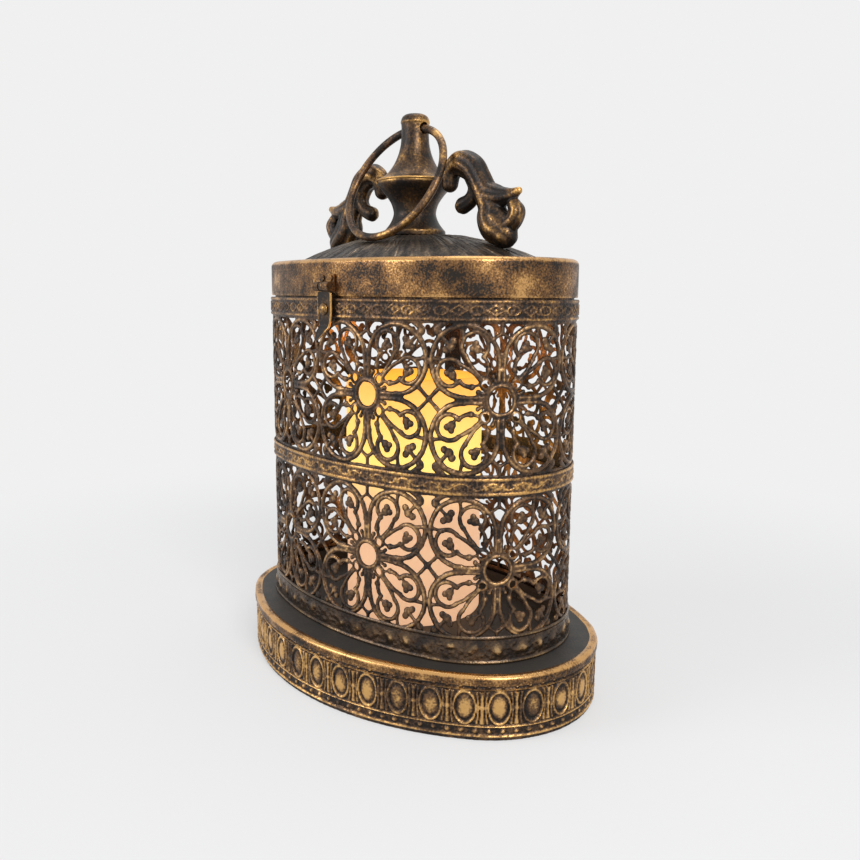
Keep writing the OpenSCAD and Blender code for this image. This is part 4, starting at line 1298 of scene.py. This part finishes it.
@dataclass
class Scrolls:
    """The two cast leaf scrolls, as limbs of x from the foot's screw, height above the dome and radius."""

    screw_x: float = 63.0
    foot_z: float = 232.04
    sides: int = 36
    points_a_ball: int = 14
    depth: float = 0.96
    flute: float = 0.12
    voxel: float = 0.5
    limbs: dict[str, Points] = field(
        default_factory=lambda: {
            "arm": [(-36.2, 38.7, 5.0), (-33.0, 41.9, 5.8), (-27.7, 43.1, 6.9), (-21.0, 40.1, 6.9)]
            + [(-17.0, 35.3, 6.5), (-13.8, 30.3, 6.5), (-10.4, 25.3, 6.7), (-8.0, 19.9, 7.0)]
            + [(-7.6, 14.9, 7.9), (-4.8, 10.6, 8.3), (-0.8, 8.0, 7.6), (1.0, 6.6, 7.0)],
            "root": [(-34.5, 41.0, 5.0), (-36.2, 38.0, 5.2), (-36.6, 33.9, 4.6)],
            "ball": [(-20.0, 37.0, 5.6), (-18.5, 31.5, 4.6), (-19.4, 27.6, 4.1), (-22.5, 24.2, 4.0)]
            + [(-27.2, 22.2, 4.4)],
            "knob": [(-2.0, 9.5, 6.6), (3.2, 11.2, 5.2), (6.8, 13.6, 4.6), (8.4, 17.2, 4.4)]
            + [(6.8, 20.2, 3.6)],
            "heel": [(-6.4, 17.6, 6.8), (-2.8, 14.8, 6.0), (1.4, 12.8, 4.8)],
            "horn": [(-9.0, 26.0, 6.6), (-4.0, 24.9, 5.9), (-0.5, 24.7, 5.0), (4.5, 25.2, 3.6)]
            + [(9.3, 26.9, 1.9)],
        }
    )

    def limb(self, balls: Points, side: int) -> tuple[Grid, Grid]:
        """One limb: a round section along a curve in the XZ plane, with round ends and shallow flutes.

        Args:
            balls: x, height and radius along the limb.
            side: 1 on the right, -1 on the left.

        Returns:
            The limb's points and faces.
        """
        curve = smooth_path(balls, self.points_a_ball * len(balls))
        cap = np.sin(np.linspace(0, math.pi / 2, 7)[:-1])

        def end(last: Grid, before: Grid) -> Grid:
            """A half-round end, from its tip to the limb."""
            way = last[:2] - before[:2]
            way = way / np.linalg.norm(way)
            reach = (last[2] * np.sqrt(1 - cap**2))[:, None]
            return np.column_stack([last[:2] + way * reach, last[2] * cap])

        line = np.vstack([end(curve[0], curve[1]), curve, end(curve[-1], curve[-2])[::-1]])
        way = np.gradient(line[:, :2], axis=0)
        way /= np.linalg.norm(way, axis=1)[:, None] + TINY
        t = round_steps(self.sides)
        flutes = 1 - self.flute * np.abs(np.cos(3 * t + 0.6)) ** 5 * np.clip(line[:, 2] / 6, 0, 1)
        radius = line[:, 2] * flutes
        x = self.screw_x + line[:, 0] - radius * np.cos(t) * way[:, 1]
        z = self.foot_z + line[:, 1] + radius * np.cos(t) * way[:, 0]
        return grid_mesh(side * x, self.depth * radius * np.sin(t), z, False)

    def scroll(self, name: str, side: int) -> Piece:
        """One scroll: its limbs melted into a single skin and smoothed, as a casting is."""
        points, faces, count = [], [], 0
        for balls in self.limbs.values():
            limb_points, limb_faces = self.limb(balls, side)
            points.append(limb_points)
            faces.append(limb_faces + count)
            count += len(limb_points)
        piece = write_mesh(name, np.vstack(points), np.vstack(faces))
        melt = piece.modifiers.new("melt", "REMESH")
        melt.mode, melt.voxel_size = "VOXEL", self.voxel * MM
        soften = piece.modifiers.new("soften", "SMOOTH")
        soften.factor, soften.iterations = 0.5, 2
        settle(piece)
        piece.data.shade_smooth()
        return piece

    def build(self, finishes: Finishes) -> None:
        """Builds and dresses both scrolls."""
        for word, side in (("right", 1), ("left", -1)):
            piece = self.scroll(f"cast_scroll_{word}", side)
            rub_edges(piece, 5.0, 0.1, 4, 51)
            set_piece(piece, finishes.cast, Body.LID, Slot.CAST, f"scroll_{word}")


@dataclass
class Latch:
    """The hasp that hangs over the mouth band, and its stud."""

    pin_y: float = -62.9
    pin_z: float = 212.9
    face_y: float = -61.4
    thick: float = 1.0
    length: float = 27.4
    bend: float = 34.0
    bend_start: float = 0.68
    knob_drop: float = 11.2
    neck: float = 1.8

    def plate(self) -> tuple[Grid, Grid, Grid]:
        """The hasp's plate: a flat section carried down a line that flicks out at its pointed tail.

        Returns:
            Points, faces, and how far each point is rubbed: most along the edges.
        """
        down = np.array([2.5, 2.7, 3.3, 5.0, 8.0, 11.2, 14.3, 16.5, 18.7, 20.6, 22.6, 24.6, 26.2, 27.0])
        half = np.array([0.0, 4.8, 5.5, 5.7, 5.7, 5.7, 5.6, 5.2, 4.4, 3.9, 3.4, 2.4, 1.1, 0.0])
        v, stops = np.linspace(0, 1, 70), np.linspace(0, 1, len(down))
        place, wide = np.interp(v, stops, down), np.interp(v, stops, half)
        beyond = np.clip(place - self.bend_start * self.length, 0, None)
        flick = beyond * math.tan(math.radians(self.bend)) * np.clip(beyond / 3, 0, 1)
        t = round_steps(36)
        c, s = np.cos(t), np.sin(t)
        across, rise = np.sign(c) * np.abs(c) ** 0.35, np.sign(s) * np.abs(s) ** 0.5
        border = 1 + 0.7 * bump(np.abs(across) - 0.9, 0.12) * (s < 0)
        x, z = across * wide, self.pin_z - place + 0 * t
        thickness = rise * border * self.thick / 2 * np.clip(wide / 1.2, 0, 1)
        y = self.face_y - self.thick / 2 - flick + thickness
        worn = 0.1 + 0.75 * bump(np.abs(across) - 1, 0.22) + 0.1 * cloud(x, z, 5.0, 61)
        return *grid_mesh(x, y, z, False), worn.ravel()

    def knuckle(self) -> tuple[Grid, Grid]:
        """The hasp's knuckle: a ring section carried round the pin.

        Returns:
            Points and faces.
        """
        t = round_steps(40)
        x = np.array([-1, -0.86, 0.86, 1, 1, -1]) * self.neck + 0 * t
        r = np.array([1.9, 2.1, 2.1, 1.9, 1.05, 1.05])
        return grid_mesh(x, self.pin_y + r * np.cos(t), self.pin_z + r * np.sin(t), True)

    def hasp(self) -> Piece:
        """The hasp: plate and knuckle in one piece."""
        plate, plate_faces, worn = self.plate()
        knuckle, knuckle_faces = self.knuckle()
        faces = np.vstack([plate_faces, knuckle_faces + len(plate)])
        rub = np.concatenate([worn, np.full(len(knuckle), 0.2)])
        return write_mesh("folded_hasp", np.vstack([plate, knuckle]), faces, rub, crease=50)

    def knob(self) -> Piece:
        """The stud: a low dome with a rolled edge, turned about the hasp's normal."""
        curve = smooth_path([(2.5, 0.0), (2.9, 0.25), (2.9, 0.7), (2.3, 1.25), (1.5, 1.75), (0.6, 1.98)], 28)
        r, out = np.vstack([[(0, -0.9), (1.1, -0.9), (1.1, 0.0)], curve, [(0, 2.0)]]).T
        t = round_steps(48)
        y = self.face_y - self.thick - out + 0 * t
        z = self.pin_z - self.knob_drop + r * np.sin(t)
        return grid_piece("domed_stud", r * np.cos(t), y, z, closed=False)

    def build(self, finishes: Finishes) -> None:
        """Builds and dresses the hasp and its stud."""
        hasp, knob = self.hasp(), self.knob()
        rub_edges(knob, 1.4, 0.25, 2, 62)
        set_piece(hasp, finishes.cast, Body.HASP, Slot.PLATE, "hasp")
        set_piece(knob, finishes.cast, Body.HASP, Slot.GILT, "hasp_knob")


@dataclass
class Candle:
    """The battery candle: a wax shell with a hollow top."""

    radius: float = 38.0
    bore_r: float = 34.0
    low: float = 32.4
    high: float = 165.4
    hollow: float = 9.0
    roof: float = 13.0
    swell: float = 0.35

    def shell(self) -> Piece:
        """The wax: a straight side, a soft lip and a bowl above, and a plain bore below, turned about Z."""
        high, bore = self.high, self.bore_r
        lip = smooth_path(
            [(30.9, high - 8.4), (31.6, high - 6.8), (31.9, high - 3.0), (33.0, high - 0.7), (34.8, high)]
            + [(36.6, high - 0.5), (37.8, high - 2.4), (38.0, high - 5.5)],
            40,
        )
        side = np.column_stack([np.full(40, self.radius), np.linspace(high - 8, self.low + 1, 40)])
        foot = [(37.4, self.low), (bore, self.low), (bore, high - self.roof), (0.0, high - self.roof)]
        radius, z = np.vstack([[(0.0, high - self.hollow)], lip, side, foot]).T
        angle = round_steps(TURNED_SIDES)
        lumps = cloud(self.radius * np.cos(angle), z + self.radius * np.sin(angle), 30.0, 71)
        radius = radius + (self.swell * lumps - self.swell) * (radius > 36)
        return grid_piece("lit_wax_shell", radius * np.cos(angle), radius * np.sin(angle), z, closed=False)

    def build(self, finishes: Finishes) -> None:
        """Builds and dresses the candle."""
        set_piece(self.shell(), finishes.wax, Body.LANTERN, Slot.WAX, "candle_wax")


@dataclass
class Fittings:
    """The CAD nodes that keep their own shape and only get a finish."""

    nodes: dict[str, Piece]

    def build(self, finishes: Finishes) -> None:
        """Dresses each node."""
        leaves = ("hinge_body_leaf", "hinge_lid_leaf")
        pins = ("hinge_pin", "hinge_body_rivets", "hinge_lid_rivets", "latch_keeper", "latch_pin")
        dressed = (
            (finishes.plate, ("base_top_plate", "base_bottom_plate", "foot_ring", *leaves)),
            (finishes.band, ("seam_strips",)),
            (finishes.wire, pins),
            (finishes.gilt, ("latch_bracket", "latch_rivets")),
            (finishes.ivory, ("candle_housing", "battery_door")),
            (finishes.cell, ("battery_cells",)),
            (finishes.board, ("led_board",)),
            (finishes.lens, ("led",)),
            (finishes.black, ("candle_switch",)),
            (finishes.zinc, ("foot_screws", "finial_rod", "finial_nut", "scroll_screws")),
        )
        for finish, names in dressed:
            for name in names:
                materials = self.nodes[name].data.materials
                materials.clear()
                materials.append(finish)
                LOG.info("%s: dressed in %s", name, finish.name)


@dataclass(frozen=True)
class Lamp:
    """A soft lamp: its name, place and size in metres, power in watts and colour."""

    name: str
    place: tuple[float, float, float]
    size: float
    power: float
    tint: str


@dataclass
class Studio:
    """The pale floor, the soft lights and the camera; the eye is in mm and its angles are in degrees."""

    eye: tuple[float, float, float] = (344.397, -327.292, 210.437)
    azimuth: float = 45.37
    pitch: float = 9.17
    roll: float = 0.41
    lens: float = 35.743
    sensor: float = 36.0
    clip: Pair = (0.01, 50.0)
    backdrop: str = "#f0f0f0"
    paper: str = "#e3e4e6"
    room: str = "#ffffff"
    room_strength: float = 0.48
    floor_reach: float = 6.0
    floor_z: float = -0.4
    floor_points: int = 13
    fade: tuple[float, float, float] = (0.2, 0.6, 0.55)
    aim: tuple[float, float, float] = (0.0, 0.0, 0.14)
    lamps: tuple[Lamp, ...] = (
        Lamp("key", (0.9, -0.45, 0.75), 0.5, 6.9, "#fffdfa"),
        Lamp("fill", (-0.55, -1.0, 0.6), 0.6, 4.8, "#fbfbff"),
        Lamp("top", (-0.1, 0.2, 1.3), 0.8, 3.4, "#ffffff"),
    )
    candle: Lamp = Lamp("candlelight", (0.0, 0.0, 0.17), 0.05, 0.085, "#ffb060")

    def camera(self) -> None:
        """Sets the camera: back, right and up from its turn, its pitch down and a slight roll."""
        turn, down, roll = (math.radians(angle) for angle in (self.azimuth, self.pitch, self.roll))
        back = Vector((math.sin(turn) * math.cos(down), -math.cos(turn) * math.cos(down), math.sin(down)))
        right = Vector((math.cos(turn), math.sin(turn), 0))
        up = back.cross(right)
        side = right * math.cos(roll) + up * math.sin(roll)
        top = up * math.cos(roll) - right * math.sin(roll)
        data = bpy.data.cameras.new("camera")
        data.lens, data.sensor_width, data.sensor_fit = self.lens, self.sensor, "HORIZONTAL"
        data.clip_start, data.clip_end = self.clip
        camera = bpy.data.objects.new("camera", data)
        axes = Matrix((side, top, back)).transposed().to_4x4()
        camera.matrix_world = Matrix.Translation(Vector(self.eye) * MM) @ axes
        bpy.context.scene.collection.objects.link(camera)
        bpy.context.scene.camera = camera

    def light(self, plan: Lamp, shape: str = "SQUARE") -> Piece:
        """Hangs a lamp, aimed at the lantern's middle.

        Args:
            plan: the lamp.
            shape: outline of its face.

        Returns:
            The lamp's object.
        """
        data = bpy.data.lights.new(plan.name, "AREA")
        data.shape, data.size, data.energy = shape, plan.size, plan.power
        data.color = hex_linear(plan.tint)[:3]
        lamp = bpy.data.objects.new(plan.name, data)
        lamp.location = plan.place
        lamp.rotation_euler = (Vector(self.aim) - Vector(plan.place)).to_track_quat("-Z", "Y").to_euler()
        bpy.context.scene.collection.objects.link(lamp)
        return lamp

    def candlelight(self) -> None:
        """A small warm disc over the candle's bowl that shines up, for the light on inner walls and lid."""
        lamp = self.light(self.candle, "DISK")
        lamp.rotation_euler = (math.pi, 0.0, 0.0)
        lamp.visible_camera = False

    def floor(self) -> None:
        """A wide flat sheet that keeps the lantern's shadow near it and fades into the backdrop."""
        count = self.floor_points
        edge = np.linspace(-self.floor_reach, self.floor_reach, count) / MM
        x, y = np.meshgrid(edge, edge, indexing="ij")
        points = np.stack([x, y, np.full_like(x, self.floor_z)], -1).reshape(-1, 3)
        floor = write_mesh("pale_floor", points, grid_faces(count, count, False, False))
        # Matt white paper, as bright as the backdrop away from the lantern.
        paper = bpy.data.materials.new("matt_backdrop_paper")
        nodes = Nodes(paper)
        tree = nodes.tree
        away = add(tree, "ShaderNodeVectorMath", {0: nodes.place}, operation="LENGTH").outputs["Value"]
        near = add(tree, "ShaderNodeBsdfDiffuse", {"Color": hex_linear(self.paper), "Roughness": 0.5})
        glow = add(tree, "ShaderNodeEmission", {"Color": hex_linear(self.backdrop), "Strength": 1.0})
        shaders = {0: nodes.eased(away, *self.fade), 1: near.outputs[0], 2: glow.outputs[0]}
        mixed = add(tree, "ShaderNodeMixShader", shaders)
        add(tree, "ShaderNodeOutputMaterial", {"Surface": mixed.outputs[0]})
        floor.data.materials.append(paper)

    def world(self) -> None:
        """A pale surround: the backdrop where it is seen or mirrored, and a plain soft light elsewhere."""
        world = bpy.data.worlds.new("studio")
        bpy.context.scene.world = world
        nodes = Nodes(world)
        tree = nodes.tree
        ray = add(tree, "ShaderNodeLightPath").outputs
        seen = nodes.calc("MAXIMUM", ray["Is Camera Ray"], ray["Is Transmission Ray"])
        seen = nodes.calc("MAXIMUM", seen, ray["Is Glossy Ray"])
        light, shown = (
            add(tree, "ShaderNodeBackground", {"Color": hex_linear(tint), "Strength": strength})
            for tint, strength in ((self.room, self.room_strength), (self.backdrop, 1.0))
        )
        mixed = add(tree, "ShaderNodeMixShader", {0: seen, 1: light.outputs[0], 2: shown.outputs[0]})
        add(tree, "ShaderNodeOutputWorld", {"Surface": mixed.outputs[0]})

    def build(self) -> None:
        """Builds the stage."""
        bpy.context.scene.view_settings.view_transform = "Standard"
        self.floor()
        self.world()
        for plan in self.lamps:
            self.light(plan)
        self.candlelight()
        self.camera()


def main() -> None:
    """Builds the lantern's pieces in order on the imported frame."""
    logging.basicConfig(level=logging.INFO, format="%(name)s %(message)s")
    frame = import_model()
    finishes = Finishes()
    for part in (Base, Wall, Lid, Finial, Scrolls, Latch, Candle):
        part().build(finishes)
    Fittings(frame["nodes"]).build(finishes)
    Studio().build()


if __name__ == "__main__":
    main()
